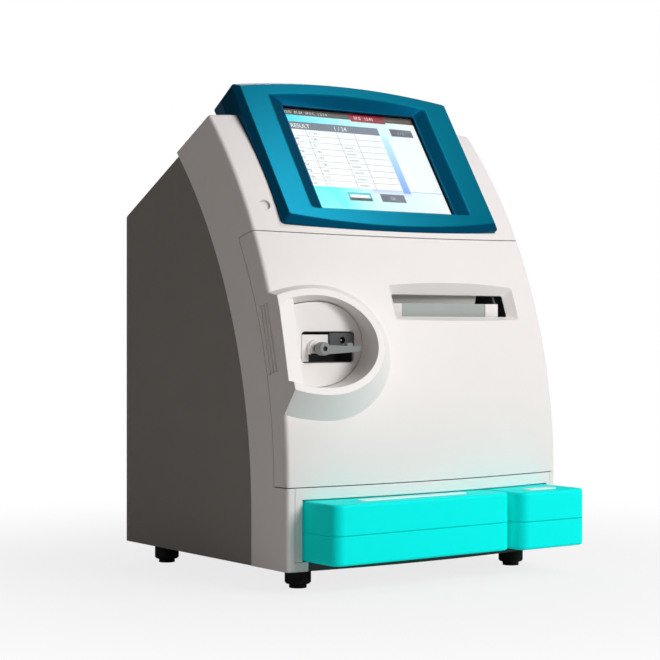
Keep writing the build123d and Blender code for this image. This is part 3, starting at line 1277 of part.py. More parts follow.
def sample_lever():
    """Lever with a round hub, a tapering bar and a raised thumb nub."""
    y_low, y_high = LEVER_Y
    hub = rod((LEVER_X, y_low, LEVER_Z), (0, 1, 0), LEVER_HUB_RADIUS, y_high - y_low)
    hub = fillet(hub.edges().filter_by(GeomType.CIRCLE), LEVER_HUB_EDGE)
    root_drop, tip_drop = LEVER_BAR_DROP
    root = Pos(LEVER_X, LEVER_Z - root_drop) * Circle(LEVER_ROOT_RADIUS)
    tip = Pos(LEVER_X + LEVER_LENGTH, LEVER_Z - tip_drop) * Circle(LEVER_TIP_RADIUS)
    outline = make_hull(root.edges() + tip.edges())
    bar = front_solid(outline, y_low + LEVER_BAR_INSET, y_high - LEVER_BAR_INSET)
    nub = front_solid(
        Pos(LEVER_X + LEVER_LENGTH + NUB_PLACE[0], LEVER_Z + NUB_PLACE[1]) * RectangleRounded(*NUB_SIZE),
        y_low + NUB_INSET, y_high - NUB_INSET,
    )
    bore = LEVER_PIN_RADIUS + PIN_RUNNING_GAP
    return hub + bar + nub - rod((LEVER_X, 0, LEVER_Z), (0, 1, 0), bore, y_high + 1)


# ---------------------------------------------------------------- measuring and pumping
def sensor_housing():
    """Heated block that holds the row of sensors, open at the front."""
    body = block(SENSOR_X, (SENSOR_FRONT_Y, PLATE_Y), SENSOR_Z)
    body = fillet(body.edges().filter_by(Axis.Y), SENSOR_EDGE)
    well_end = SENSOR_FRONT_Y + SENSOR_WELL
    for x in sensor_places():
        body -= rod((x, 0, SENSOR_MIDDLE_Z), (0, 1, 0), SENSOR_RADIUS + SENSOR_GAP, well_end)
    return body


def sensor_places():
    """X of each sensor."""
    pitch = (SENSOR_X[1] - SENSOR_X[0]) / SENSOR_COUNT
    return [SENSOR_X[0] + pitch * (index + 0.5) for index in range(SENSOR_COUNT)]


def sensors():
    """Round plug-in electrodes with chamfered caps."""
    plugs = []
    wider, length, proud = SENSOR_CAP
    y = SENSOR_FRONT_Y - SENSOR_PROUD
    for x in sensor_places():
        stem = rod((x, y, SENSOR_MIDDLE_Z), (0, 1, 0), SENSOR_RADIUS, SENSOR_LENGTH)
        cap = rod((x, y - proud, SENSOR_MIDDLE_Z), (0, 1, 0), SENSOR_RADIUS + wider, length)
        plugs.append(stem + chamfer(cap.edges().filter_by(GeomType.CIRCLE).sort_by(Axis.Y)[0], wider))
    return plugs


def transfer_tubes():
    """Straight tubes from the sampler block down to the sensors, and on to the pump."""
    y = (SENSOR_FRONT_Y + PLATE_Y) / 2
    length = BLOCK_Z[0] - SENSOR_Z[1]
    tubes = []
    for index in range(TUBE_COUNT):
        x = SENSOR_X[0] + TUBE_START + TUBE_PITCH * index
        tubes.append(rod((x, y, SENSOR_Z[1]), (0, 0, 1), TUBE_RADIUS, length))
    z = SENSOR_Z[1] - TUBE_DROP
    closest = max(abs(PUMP_Z - z) - TUBE_RADIUS, 0)
    pump_side = PUMP_X - sqrt(PUMP_RADIUS**2 - closest**2) - SEAT
    tubes.append(rod((SENSOR_X[1], y, z), (1, 0, 0), TUBE_RADIUS, pump_side - SENSOR_X[1]))
    return tubes


def pump_housing():
    """Round pump head, open at the front and at its foot where the tube leaves."""
    body = rod((PUMP_X, PUMP_FRONT_Y, PUMP_Z), (0, 1, 0), PUMP_RADIUS, PLATE_Y - PUMP_FRONT_Y)
    race = TUBE_ORBIT + TUBE_RADIUS + SEAT
    floor_y = PLATE_Y - PUMP_FLOOR
    body -= rod((PUMP_X, 0, PUMP_Z), (0, 1, 0), race, floor_y)
    body -= block((PUMP_X - race, PUMP_X + race), (0, floor_y), (0, PUMP_Z))
    return body - rod((PUMP_X, 0, PUMP_Z), (0, 1, 0), PUMP_SHAFT_RADIUS + PIN_RUNNING_GAP, FAR)


def rotor_limits():
    """Y of the front and of the back of the pump's rotor."""
    return PUMP_FRONT_Y + PUMP_ROTOR_GAPS[0], PLATE_Y - PUMP_ROTOR_GAPS[1]


def pump_rotor():
    """Two discs on a hub, joined by three roller pins, and the shaft through them."""
    y_front, y_back = rotor_limits()
    rim = ROLLER_ORBIT + ROLLER_PIN_RADIUS + PUMP_RIM
    rotor = rod((PUMP_X, y_front, PUMP_Z), (0, 1, 0), rim, PUMP_DISC)
    rotor += rod((PUMP_X, y_back - PUMP_DISC, PUMP_Z), (0, 1, 0), rim, PUMP_DISC)
    rotor += rod((PUMP_X, y_front, PUMP_Z), (0, 1, 0), PUMP_SHAFT_RADIUS + PUMP_HUB_WALL, y_back - y_front)
    for x, z in roller_places():
        rotor += rod((x, y_front, z), (0, 1, 0), ROLLER_PIN_RADIUS, y_back - y_front)
    end = PLATE_BACK_Y + PUMP_SHAFT_REACH
    shaft = rod((PUMP_X, y_front - 1, PUMP_Z), (0, 1, 0), PUMP_SHAFT_RADIUS, end - y_front + 1)
    return [rotor - rod((PUMP_X, 0, PUMP_Z), (0, 1, 0), PUMP_SHAFT_RADIUS, FAR), shaft]


def roller_places():
    """(X, Z) of the pump rollers."""
    turns = [2 * pi * index / ROLLER_COUNT for index in range(ROLLER_COUNT)]
    return [(PUMP_X + ROLLER_ORBIT * sin(turn), PUMP_Z + ROLLER_ORBIT * cos(turn)) for turn in turns]


def pump_rollers():
    """Rollers that press the tube."""
    y_front, y_back = rotor_limits()
    y_low, y_high = y_front + PUMP_DISC + SEAT, y_back - PUMP_DISC - SEAT
    bore = ROLLER_PIN_RADIUS + 2 * PIN_RUNNING_GAP
    return [pipe((x, y_low, z), (0, 1, 0), ROLLER_RADIUS, bore, y_high - y_low) for x, z in roller_places()]


def pump_motor():
    """Geared motor behind the plate."""
    motor = rod((PUMP_X, PLATE_BACK_Y, PUMP_Z), (0, 1, 0), *GEARBOX)
    motor += rod((PUMP_X, PLATE_BACK_Y, PUMP_Z), (0, 1, 0), MOTOR[0], GEARBOX[1] + MOTOR[1])
    bore = PUMP_SHAFT_RADIUS + PIN_RUNNING_GAP
    return motor - rod((PUMP_X, 0, PUMP_Z), (0, 1, 0), bore, PLATE_BACK_Y + PUMP_SHAFT_REACH + SEAT)


def pump_tube():
    """Soft tube over the rollers, both ends going down to the bay liner."""
    y = (PUMP_FRONT_Y + PLATE_Y) / 2
    foot = LINER_TOP + SEAT
    left, right = PUMP_X - TUBE_ORBIT, PUMP_X + TUBE_ORBIT
    path = Curve() + [
        Line((left, y, foot), (left, y, PUMP_Z)),
        ThreePointArc((left, y, PUMP_Z), (PUMP_X, y, PUMP_Z + TUBE_ORBIT), (right, y, PUMP_Z)),
        Line((right, y, PUMP_Z), (right, y, foot)),
    ]
    return sweep(Plane(origin=(left, y, foot), z_dir=(0, 0, 1)) * Circle(TUBE_RADIUS), path=path)


# ---------------------------------------------------------------- printer
def bar_end_limits():
    """X limits of the left and the right clip."""
    return (PRINTER_X[0], PRINTER_X[0] + BAR_ENDS[0]), (PRINTER_X[1] - BAR_ENDS[1], PRINTER_X[1])


def printer_body():
    """Floor, back, two cheeks that hold the roll and the platen, and tabs that carry the tear bar."""
    x_low, x_high = PRINTER_X
    z_low, z_high = PRINTER_Z
    front_y = PRINTER_FRONT_Y + BAR_THICKNESS + SEAT
    body = block(PRINTER_X, (front_y, PLATE_Y), (z_low, z_low + PRINTER_WALL))
    body += block(PRINTER_X, (PLATE_Y - PRINTER_WALL, PLATE_Y), (z_low, z_high))
    cheek = make_face(Polyline(
        (front_y, z_low), (PLATE_Y, z_low), (PLATE_Y, z_high),
        (ROLL_Y - CHEEK_LEAD, z_high), (front_y, BAR_TOP), close=True,
    ))
    for x in (x_low, x_high - PRINTER_WALL):
        body += side_solid(cheek, x, x + PRINTER_WALL)
    for x_limits in bar_end_limits():
        reach = (max(x_low, x_limits[0] - CLIP_OVERLAP), min(x_high, x_limits[1] + CLIP_OVERLAP))
        body += block(reach, (front_y, front_y + CLIP_TAB), (BAR_BOTTOM, BAR_TOP))
    body -= rod((x_low - 1, ROLL_Y, ROLL_Z), (1, 0, 0), SPINDLE_RADIUS, FAR)
    return body - rod((x_low - 1, PLATEN_Y, PLATEN_Z), (1, 0, 0), PLATEN_PIN_RADIUS + PIN_RUNNING_GAP, FAR)


def tear_bar():
    """Flat bar across the front of the printer, where the paper is torn."""
    left, right = bar_end_limits()
    low, high = left[1] + SEAT, right[0] - SEAT
    bar = block((low, high), (PRINTER_FRONT_Y, PRINTER_FRONT_Y + BAR_THICKNESS), (BAR_BOTTOM, BAR_TOP))
    return chamfer(bar.edges().filter_by(Axis.X).sort_by(Axis.Z)[-1], BAR_CHAMFER)


def bar_clips():
    """Rounded end pieces that hold the tear bar against the printer's tabs."""
    clips = []
    y_limits = (PRINTER_FRONT_Y - CLIP_PROUD, PRINTER_FRONT_Y + BAR_THICKNESS)
    for x_limits in bar_end_limits():
        clip = block(x_limits, y_limits, (BAR_BOTTOM, BAR_TOP))
        clips.append(fillet(clip.faces().sort_by(Axis.Y)[0].edges(), CLIP_RADIUS))
    return clips


def paper_spindle():
    """Fixed rod between the cheeks that the paper roll turns on."""
    return rod((PRINTER_X[0], ROLL_Y, ROLL_Z), (1, 0, 0), SPINDLE_RADIUS, PRINTER_X[1] - PRINTER_X[0])


def paper_roll():
    """Roll of printing paper on its core."""
    x_low = (PRINTER_X[0] + PRINTER_X[1] - PAPER_WIDTH) / 2
    bore = SPINDLE_RADIUS + 2 * PIN_RUNNING_GAP
    return pipe((x_low, ROLL_Y, ROLL_Z), (1, 0, 0), PAPER_RADIUS, bore, PAPER_WIDTH)


def platen_roller():
    """Rubber feed roller with stub shafts in the cheeks."""
    inset = PRINTER_WALL + PLATEN_END_GAP
    x_low, x_high = PRINTER_X[0] + inset, PRINTER_X[1] - inset
    pin_low, pin_high = PRINTER_X[0] + PLATEN_PIN_SINK, PRINTER_X[1] - PLATEN_PIN_SINK
    drum = rod((x_low, PLATEN_Y, PLATEN_Z), (1, 0, 0), PLATEN_RADIUS, x_high - x_low)
    return drum + rod((pin_low, PLATEN_Y, PLATEN_Z), (1, 0, 0), PLATEN_PIN_RADIUS, pin_high - pin_low)


# ---------------------------------------------------------------- door catch
def door_catch():
    """Magnetic catch inside the left wall of the shell."""
    x, y = -HALF + SHELL_WALL, CATCH_Y + SEAT
    width, depth, height = CATCH_SIZE
    return block((x, x + width), (y, y + depth), (CATCH_Z - height / 2, CATCH_Z + height / 2))


def door_strike():
    """Steel tongue on the door that meets the catch."""
    x = -HALF + SHELL_WALL
    width, depth, height = STRIKE_SIZE
    z_limits = (CATCH_Z - height / 2, CATCH_Z + height / 2)
    pad_y = (CATCH_Y - depth, CATCH_Y - depth + STRIKE_PAD)
    tongue_y = (CATCH_Y - STRIKE_PAD, CATCH_Y)
    tongue = block((x + STRIKE_RELIEF, x + width), tongue_y, z_limits)
    return tongue + block((x, x + width), pad_y, z_limits)


# ---------------------------------------------------------------- electronics and rear fittings
def electronics_shelf():
    """Sheet on top of the bay liner that carries the boards and the power supply."""
    front_y = PLATE_Y + PLATE_FOOT + SHELF_FRONT_GAP
    shelf = block((-SHELF_HALF, SHELF_HALF), (front_y, SHELF_BACK_Y), (LINER_TOP, SHELF_TOP))
    leg_x = (-SHELF_HALF, INLET_CENTRE[0] - INLET_SIZE[0])
    return shelf + block(leg_x, (SHELF_BACK_Y - TRAY_SHEET, SHELF_BACK_Y), (TRAY_FLOOR, SHELF_TOP))


def power_supply():
    """Boxed power supply with a slotted lid."""
    top = SHELF_TOP + SUPPLY_HEIGHT
    body = block(SUPPLY_X, SUPPLY_Y, (SHELF_TOP, top))
    body = fillet(body.edges().filter_by(Axis.Z), SUPPLY_RADIUS)
    x_mid = (SUPPLY_X[0] + SUPPLY_X[1]) / 2
    length, width, depth = SUPPLY_SLOT
    for index in range(SUPPLY_SLOT_COUNT):
        y = SUPPLY_Y[0] + SUPPLY_SLOT_START + SUPPLY_SLOT_PITCH * index
        body -= block((x_mid - length / 2, x_mid + length / 2), (y, y + width), (top - depth, FAR))
    return body


def board_post_places():
    """(X, Y) of the posts under the main board."""
    columns = (BOARD_X[0] + POST_INSET, BOARD_X[1] - POST_INSET)
    rows = (BOARD_Y[0] + POST_INSET, BOARD_Y[1] - POST_INSET)
    return [(x, y) for x in columns for y in rows]


def main_board():
    """Main circuit board with its larger components, on four posts."""
    z = SHELF_TOP + POST_HEIGHT
    top = z + BOARD_THICKNESS
    board = block(BOARD_X, BOARD_Y, (z, top))
    for dx, dy, width, depth, height in BOARD_PARTS:
        x, y = BOARD_X[0] + dx, BOARD_Y[0] + dy
        board += block((x, x + width), (y, y + depth), (top - BOARD_ROOT, top + height))
    posts = [rod((x, y, SHELF_TOP), (0, 0, 1), POST_RADIUS, POST_HEIGHT) for x, y in board_post_places()]
    return [board] + posts


def data_port_places():
    """(X, Z) of the data ports, which stand on the main board."""
    return [(BOARD_X[0] + place, DATA_PORT_Z) for place in DATA_PORTS]


def data_ports():
    """Socket shells on the edge of the main board, reaching through the back panel."""
    inner_y, outer_y = BOARD_BACK_Y - DATA_PORT_INSET, BACK_FACE_Y + DATA_PORT_PROUD
    return [
        upright(centre, DATA_PORT_SIZE, inner_y, outer_y)
        - upright(centre, DATA_PORT_SIZE, inner_y + DATA_PORT_FLOOR, FAR, -DATA_PORT_WALL)
        for centre in data_port_places()
    ]


def fan_frame():
    """Square fan frame with a bored centre and a spider that carries the rotor."""
    x, z = FAN_CENTRE
    y_low = BACK_PANEL_Y - FAN_THICKNESS
    frame = upright(FAN_CENTRE, (FAN_SIZE, FAN_SIZE), y_low, BACK_PANEL_Y)
    frame = fillet(frame.edges().filter_by(Axis.Y), FAN_CORNER_RADIUS)
    frame -= rod((x, 0, z), (0, 1, 0), FAN_BORE_RADIUS, FAR)
    frame += rod((x, y_low, z), (0, 1, 0), FAN_HUB_RADIUS + 1, FAN_SPIDER)
    for turn in (45, 135):
        arm = Box(2 * FAN_BORE_RADIUS + FAN_SPIDER, FAN_SPIDER, FAN_ARM)
        frame += Pos(x, y_low + FAN_SPIDER / 2, z) * Rot(0, turn, 0) * arm
    return frame + rod((x, y_low, z), (0, 1, 0), FAN_PIN_RADIUS, FAN_THICKNESS - sum(FAN_END_GAPS))


def fan_rotor():
    """Hub and pitched blades, on the pin of the frame."""
    x, z = FAN_CENTRE
    y_low = BACK_PANEL_Y - FAN_THICKNESS + FAN_END_GAPS[0]
    depth = FAN_THICKNESS - sum(FAN_END_GAPS)
    hub = rod((x, y_low, z), (0, 1, 0), FAN_HUB_RADIUS, depth)
    reach = FAN_BORE_RADIUS - BLADE_TIP_GAP
    start = FAN_HUB_RADIUS - BLADE_ROOT
    blade = Rot(BLADE_ANGLE, 0, 0) * Box(reach - start, BLADE_SHEET, BLADE_CHORD)
    ring = rod((0, -depth / 2, 0), (0, 1, 0), reach, depth)
    for index in range(FAN_BLADES):
        turned = Rot(0, 360 * index / FAN_BLADES, 0) * Pos((start + reach) / 2, 0, 0) * blade
        hub += Pos(x, y_low + depth / 2, z) * (turned & ring)
    bore_end = BACK_PANEL_Y - FAN_END_GAPS[1] - BLADE_ROOT
    return hub - rod((x, 0, z), (0, 1, 0), FAN_PIN_RADIUS + PIN_RUNNING_GAP, bore_end)


def fan_guard():
    """Wire guard of three rings and a cross, outside the back panel."""
    x, z = FAN_CENTRE
    guard = Part()
    for part in GUARD_RINGS:
        radius = FAN_BORE_RADIUS * part
        guard += pipe((x, BACK_FACE_Y, z), (0, 1, 0), radius, radius - GUARD_WIRE, GUARD_WIRE)
    bar = Box(2 * (FAN_BORE_RADIUS + GUARD_REACH), GUARD_WIRE, GUARD_BAR)
    for turn in (45, 135):
        guard += Pos(x, BACK_FACE_Y + GUARD_WIRE / 2, z) * Rot(0, turn, 0) * bar
    return guard


def flanged_body(centre, size, depth):
    """Panel fitting: a body through the back panel, with a flange outside."""
    body = upright(centre, size, BACK_FACE_Y - depth, BACK_FACE_Y + FLANGE_THICKNESS)
    flange = upright(centre, size, BACK_FACE_Y, BACK_FACE_Y + FLANGE_THICKNESS, FLANGE_WIDTH)
    return body + fillet(flange.edges().filter_by(Axis.Y), FLANGE_RADIUS)


def power_inlet():
    """Mains inlet with a deep socket."""
    body = flanged_body(INLET_CENTRE, INLET_SIZE, INLET_BODY)
    return body - upright(INLET_CENTRE, INLET_MOUTH, BACK_FACE_Y - INLET_DEPTH, FAR)


def inlet_blades():
    """Three contact blades standing in the inlet."""
    x, z = INLET_CENTRE
    floor = BACK_FACE_Y - INLET_DEPTH
    width, length, height = BLADE_SIZE
    return [upright((x + dx, z + dz), (width, height), floor, floor + length) for dx, dz in BLADE_PLACES]


def switch_frame():
    """Frame and cross pin that the rocker turns in."""
    x, z = SWITCH_CENTRE
    body = flanged_body(SWITCH_CENTRE, SWITCH_SIZE, SWITCH_BODY)
    body -= upright(SWITCH_CENTRE, SWITCH_WELL, BACK_FACE_Y - SWITCH_WELL_DEPTH, FAR)
    pin_start = (x - SWITCH_WELL[0] / 2 - 1, ROCKER_AXIS_Y, z)
    return body + rod(pin_start, (1, 0, 0), ROCKER_PIN_RADIUS, SWITCH_WELL[0] + 2)


def rocker_switch():
    """Rocker with its fixed tilt, turning on the cross pin of the frame."""
    x, z = SWITCH_CENTRE
    width, height = ROCKER_SIZE
    body = Box(width, 2 * ROCKER_DEPTH, height)
    body = fillet(body.edges().filter_by(Axis.X), ROCKER_EDGE)
    hollow = Box(FAR, ROCKER_DEPTH, height - 2 * ROCKER_RIM)
    body -= Pos(0, -ROCKER_DEPTH / 2 - ROCKER_DISH, 0) * hollow
    body -= Rot(0, 90, 0) * Cylinder(ROCKER_PIN_RADIUS + PIN_RUNNING_GAP, FAR)
    return Pos(x, ROCKER_AXIS_Y, z) * Rot(ROCKER_TILT, 0, 0) * body


# ---------------------------------------------------------------- writing the sub-parts
def save(name, shape):
    """Stand a sub-part on its feet, centre it over the footprint and write it."""
    solids = shape if isinstance(shape, list) else [shape]
    loose = [solid for item in solids for solid in item.solids()]
    placed = Pos(0, -MIDDLE_Y, FOOT_HEIGHT) * Compound(children=loose)
    export_step(placed, f"parts/{name}.step")


def main():
    """Build and write every sub-part."""
    os.makedirs("parts", exist_ok=True)
    outside, inside = body_blocks()
    for maker in (front_shell, door, bay_frame):
        save(maker.__name__, maker(outside, inside))
    makers = [
        status_lamp, hinge_pins, door_catch, door_strike,
        rear_housing, back_panel, screws, base_tray, feet,
        bay_liner, pack_rails, dock_manifold, dock_needles,
        display_bezel, display_back, touch_glass, display_panel, display_board,
        instrument_plate, sampler_block, sampler_panel, sampler_insert, sampler_port,
        sample_probe, lever_pivot, sample_lever,
        sensor_housing, sensors, transfer_tubes,
        pump_housing, pump_rotor, pump_rollers, pump_motor, pump_tube,
        printer_body, tear_bar, bar_clips, paper_spindle, paper_roll, platen_roller,
        electronics_shelf, power_supply, main_board, data_ports,
        fan_frame, fan_rotor, fan_guard,
        power_inlet, inlet_blades, switch_frame, rocker_switch,
    ]
    for maker in makers:
        save(maker.__name__, maker())
    packs = (
        ("large_pack", LARGE_PACK_X, LARGE_PACK_FRONT, LARGE_PORTS, LARGE_POUCHES, LARGE_RECESS),
        ("small_pack", SMALL_PACK_X, SMALL_PACK_FRONT, SMALL_PORTS, SMALL_POUCHES, SMALL_RECESS),
    )
    for name, x_limits, front_y, ports, pouches, recess in packs:
        save(f"{name}_lower", pack_lower(x_limits, front_y, ports))
        save(f"{name}_upper", pack_upper(x_limits, front_y, recess))
        save(f"{name}_insides", pack_pouches(x_limits, front_y, pouches) + pack_ports(x_limits, ports))


if __name__ == "__main__":
    main()
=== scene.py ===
"""Looks of a benchtop blood-gas analyzer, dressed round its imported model.

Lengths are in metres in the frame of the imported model: +X to the right, +Y to the back, +Z up, with the
origin in the middle of the footprint. Fields whose names end in _mm are real sizes in millimetres.
"""

import logging
import math
from dataclasses import dataclass, field
from enum import Enum

import bmesh
import bpy
import numpy as np
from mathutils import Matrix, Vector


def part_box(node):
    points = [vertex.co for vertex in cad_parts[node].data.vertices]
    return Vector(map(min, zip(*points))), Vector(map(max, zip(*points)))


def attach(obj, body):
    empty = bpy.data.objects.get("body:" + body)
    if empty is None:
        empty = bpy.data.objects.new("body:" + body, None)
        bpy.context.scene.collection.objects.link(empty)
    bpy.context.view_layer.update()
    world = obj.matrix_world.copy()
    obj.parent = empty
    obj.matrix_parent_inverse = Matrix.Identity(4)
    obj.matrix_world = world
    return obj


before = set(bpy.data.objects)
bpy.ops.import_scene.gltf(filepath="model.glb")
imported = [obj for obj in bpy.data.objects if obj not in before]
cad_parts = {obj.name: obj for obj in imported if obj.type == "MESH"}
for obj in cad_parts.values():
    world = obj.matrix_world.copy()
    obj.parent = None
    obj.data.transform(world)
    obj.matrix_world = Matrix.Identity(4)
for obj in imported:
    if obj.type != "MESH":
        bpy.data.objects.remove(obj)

LOG = logging.getLogger("analyzer")
MM = 0.001
Array = np.ndarray

POD_LEAN = 32.9                 # lean of the display pod from upright, in degrees
POD_FOOT_MM = (-75.55, 356.8)   # Y and Z of its lower front edge
TONE_PATCH_MM = 62.5            # size of the patches in which a colour wanders
MARK_PATCH_MM = 25.0            # size of the faint marks in a surface's gloss
COAT_ROUGHNESS = 0.12
EDGE_SAMPLES = 6                # rays that round a sharp edge
WELD_MM = 0.001                 # points nearer than this are one
OPAQUE = (1.0,)
WHITE_LIGHT = (1.0, 1.0, 1.0)


# ---------------------------------------------------------------- colour, nodes and meshes
def linear(colour: str) -> tuple[float, float, float, float]:
    """Turn an sRGB hex colour into linear red, green, blue and an alpha of 1.

    Args:
        colour: six hex digits after a hash sign.

    Returns:
        Four numbers from 0 to 1.
    """
    parts = [int(colour[i:i + 2], 16) / 255 for i in (1, 3, 5)]
    light = [p / 12.92 if p <= 0.04045 else ((p + 0.055) / 1.055) ** 2.4 for p in parts]
    return (*light, *OPAQUE)


def add_node(tree: bpy.types.NodeTree, kind: str, settings: dict | None = None,
             links: dict | None = None) -> bpy.types.Node:
    """Add a node, give its properties and sockets their values, and link its inputs.

    Args:
        tree: node tree that takes the node.
        kind: the node's type name.
        settings: property names or input socket names or numbers, with their values.
        links: input socket names or numbers, with the output sockets that feed them.

    Returns:
        The new node.
    """
    node = tree.nodes.new(kind)
    for name, value in (settings or {}).items():
        if isinstance(name, str) and hasattr(node, name):
            setattr(node, name, value)
        else:
            node.inputs[name].default_value = value
    for name, source in (links or {}).items():
        tree.links.new(source, node.inputs[name])
    return node


def blank_material(name: str) -> bpy.types.Material:
    """Make a material whose node tree is empty.

    Args:
        name: the material's name.

    Returns:
        The material.
    """
    material = bpy.data.materials.new(name)
    material.use_nodes = True
    material.node_tree.nodes.clear()
    return material


def link(item: bpy.types.Object) -> None:
    """Put an object into the scene."""
    bpy.context.scene.collection.objects.link(item)


def surface(name: str, points: Array, closed_u: bool = False, closed_v: bool = False) -> bpy.types.Object:
    """Make a mesh of a grid of points: each cell between neighbours (i, j) and (i+1, j+1) is one face.

    Args:
        name: the object's name.
        points: array of shape (rows, columns, 3).
        closed_u: whether the last row joins the first.
        closed_v: whether the last column joins the first.

    Returns:
        The object, linked into the scene.
    """
    rows, columns = points.shape[:2]
    index = np.arange(rows * columns).reshape(rows, columns)
    if closed_u:
        index = np.vstack([index, index[:1]])
    if closed_v:
        index = np.hstack([index, index[:, :1]])
    faces = np.stack([index[:-1, :-1], index[:-1, 1:], index[1:, 1:], index[1:, :-1]], axis=-1)
    return solid(name, points.reshape(-1, 3), faces.reshape(-1, 4))


def solid(name: str, points: Array, faces: Array) -> bpy.types.Object:
    """Put points and faces into a mesh object in the scene.

    Args:
        name: the object's name.
        points: array of shape (n, 3).
        faces: array of shape (m, 3) or (m, 4) of point numbers.

    Returns:
        The object, linked into the scene.
    """
    mesh = bpy.data.meshes.new(name)
    mesh.from_pydata(points.tolist(), [], faces.tolist())
    mesh.update()
    item = bpy.data.objects.new(name, mesh)
    link(item)
    return item


def welded(item: bpy.types.Object) -> bpy.types.Object:
    """Merge a mesh's doubled points and turn its faces outwards.

    Args:
        item: the object that holds the mesh.

    Returns:
        The same object.
    """
    shell = bmesh.new()
    shell.from_mesh(item.data)
    bmesh.ops.remove_doubles(shell, verts=shell.verts, dist=WELD_MM * MM)
    bmesh.ops.recalc_face_normals(shell, faces=shell.faces)
    shell.to_mesh(item.data)
    shell.free()
    return item


# ---------------------------------------------------------------- finishes
class Pattern(Enum):
    """How a surface was made, which sets the pattern of its relief."""

    MOULDED = "spark-eroded mould grain"
    COATED = "textured powder coat"
    BRUSHED = "straight grinding marks"
    ROLLED = "rolled or drawn metal"
    PRESSED = "pressed fibres"


@dataclass(frozen=True)
class Finish:
    """A material named for what the real one is and how its surface was made.

    Fields:
        name: the material's common name.
        colour: its sRGB colour.
        pattern: how its surface was made.
        roughness: blur of its reflections.
        metallic: 1 for bare metal.
        grain_mm: size of the relief's grains.
        relief_mm: height of the relief.
        edge_mm: radius that the light sees on sharp edges.
        tone: how far the colour wanders, as a share.
        coat: share of a clear gloss layer.
        ior: refractive index.
        glow: share of its own colour given off as light: a lit screen's own, and painted light on the cyan
            packs.
        marks: how far the roughness wanders, as a share.
    """

    name: str
    colour: str
    pattern: Pattern = Pattern.MOULDED
    roughness: float = 0.45
    metallic: float = 0.0
    grain_mm: float = 1.4
    relief_mm: float = 0.02
    edge_mm: float = 0.5
    tone: float = 0.04
    coat: float = 0.0
    ior: float = 1.5
    glow: float = 0.0
    marks: float = 0.12

    def make(self) -> bpy.types.Material:
        """Build the node tree: object coordinates feed the grain, the tone and the roughness."""
        material = blank_material(self.name)
        tree = material.node_tree
        place = add_node(tree, "ShaderNodeTexCoord").outputs["Object"]
        grain = self.grain(tree, place)
        shader = add_node(
            tree, "ShaderNodeBsdfPrincipled",
            {
                "Metallic": self.metallic, "IOR": self.ior,
                "Coat Weight": self.coat, "Coat Roughness": COAT_ROUGHNESS,
                "Emission Color": linear(self.colour), "Emission Strength": self.glow,
            },
            {
                "Base Color": self.colour_field(tree, place), "Roughness": self.gloss(tree, place),
                "Normal": self.relief(tree, grain),
            },
        )
        add_node(tree, "ShaderNodeOutputMaterial", None, {"Surface": shader.outputs["BSDF"]})
        return material

    def grain(self, tree: bpy.types.NodeTree, place: bpy.types.NodeSocket) -> bpy.types.NodeSocket:
        """Height field of the relief, one grain to grain_mm, drawn out along X on brushed or rolled metal."""
        along = {Pattern.BRUSHED: 0.04, Pattern.ROLLED: 0.3}.get(self.pattern, 1.0)
        scale = add_node(tree, "ShaderNodeMapping", {"Scale": (along, 1.0, 1.0)}, {"Vector": place})
        detail = {Pattern.MOULDED: 2.0, Pattern.COATED: 4.0, Pattern.PRESSED: 6.0}.get(self.pattern, 3.0)
        noise = add_node(
            tree, "ShaderNodeTexNoise",
            {"Scale": 1 / (self.grain_mm * MM), "Detail": detail, "Roughness": 0.6},
            {"Vector": scale.outputs["Vector"]},
        )
        return noise.outputs["Fac"]

    def relief(self, tree: bpy.types.NodeTree, height: bpy.types.NodeSocket) -> bpy.types.NodeSocket:
        """Normal of the grain on an edge rounded by edge_mm."""
        edge = add_node(tree, "ShaderNodeBevel", {"samples": EDGE_SAMPLES, "Radius": self.edge_mm * MM})
        bump = add_node(
            tree, "ShaderNodeBump", {"Strength": 1.0, "Distance": self.relief_mm * MM},
            {"Height": height, "Normal": edge.outputs["Normal"]},
        )
        return bump.outputs["Normal"]

    def colour_field(self, tree: bpy.types.NodeTree, place: bpy.types.NodeSocket) -> bpy.types.NodeSocket:
        """The colour, wandering by tone from patch to patch."""
        drift = add_node(
            tree, "ShaderNodeTexNoise", {"Scale": 1 / (TONE_PATCH_MM * MM), "Detail": 3.0}, {"Vector": place},
        )
        plain = linear(self.colour)[:3]
        dark = tuple(c * (1 - self.tone) for c in plain) + OPAQUE
        light = tuple(min(1.0, c * (1 + self.tone)) for c in plain) + OPAQUE
        mix = add_node(
            tree, "ShaderNodeMix", {"data_type": "RGBA", 6: dark, 7: light}, {0: drift.outputs["Fac"]},
        )
        return mix.outputs[2]

    def gloss(self, tree: bpy.types.NodeTree, place: bpy.types.NodeSocket) -> bpy.types.NodeSocket:
        """Roughness with faint handling marks."""
        marks = add_node(
            tree, "ShaderNodeTexNoise",
            {"Scale": 1 / (MARK_PATCH_MM * MM), "Detail": 5.0, "Roughness": 0.65},
            {"Vector": place},
        )
        spread = add_node(
            tree, "ShaderNodeMapRange",
            {
                "To Min": self.roughness * (1 - self.marks),
                "To Max": min(1.0, self.roughness * (1 + self.marks)),
            },
            {"Value": marks.outputs["Fac"]},
        )
        return spread.outputs["Result"]


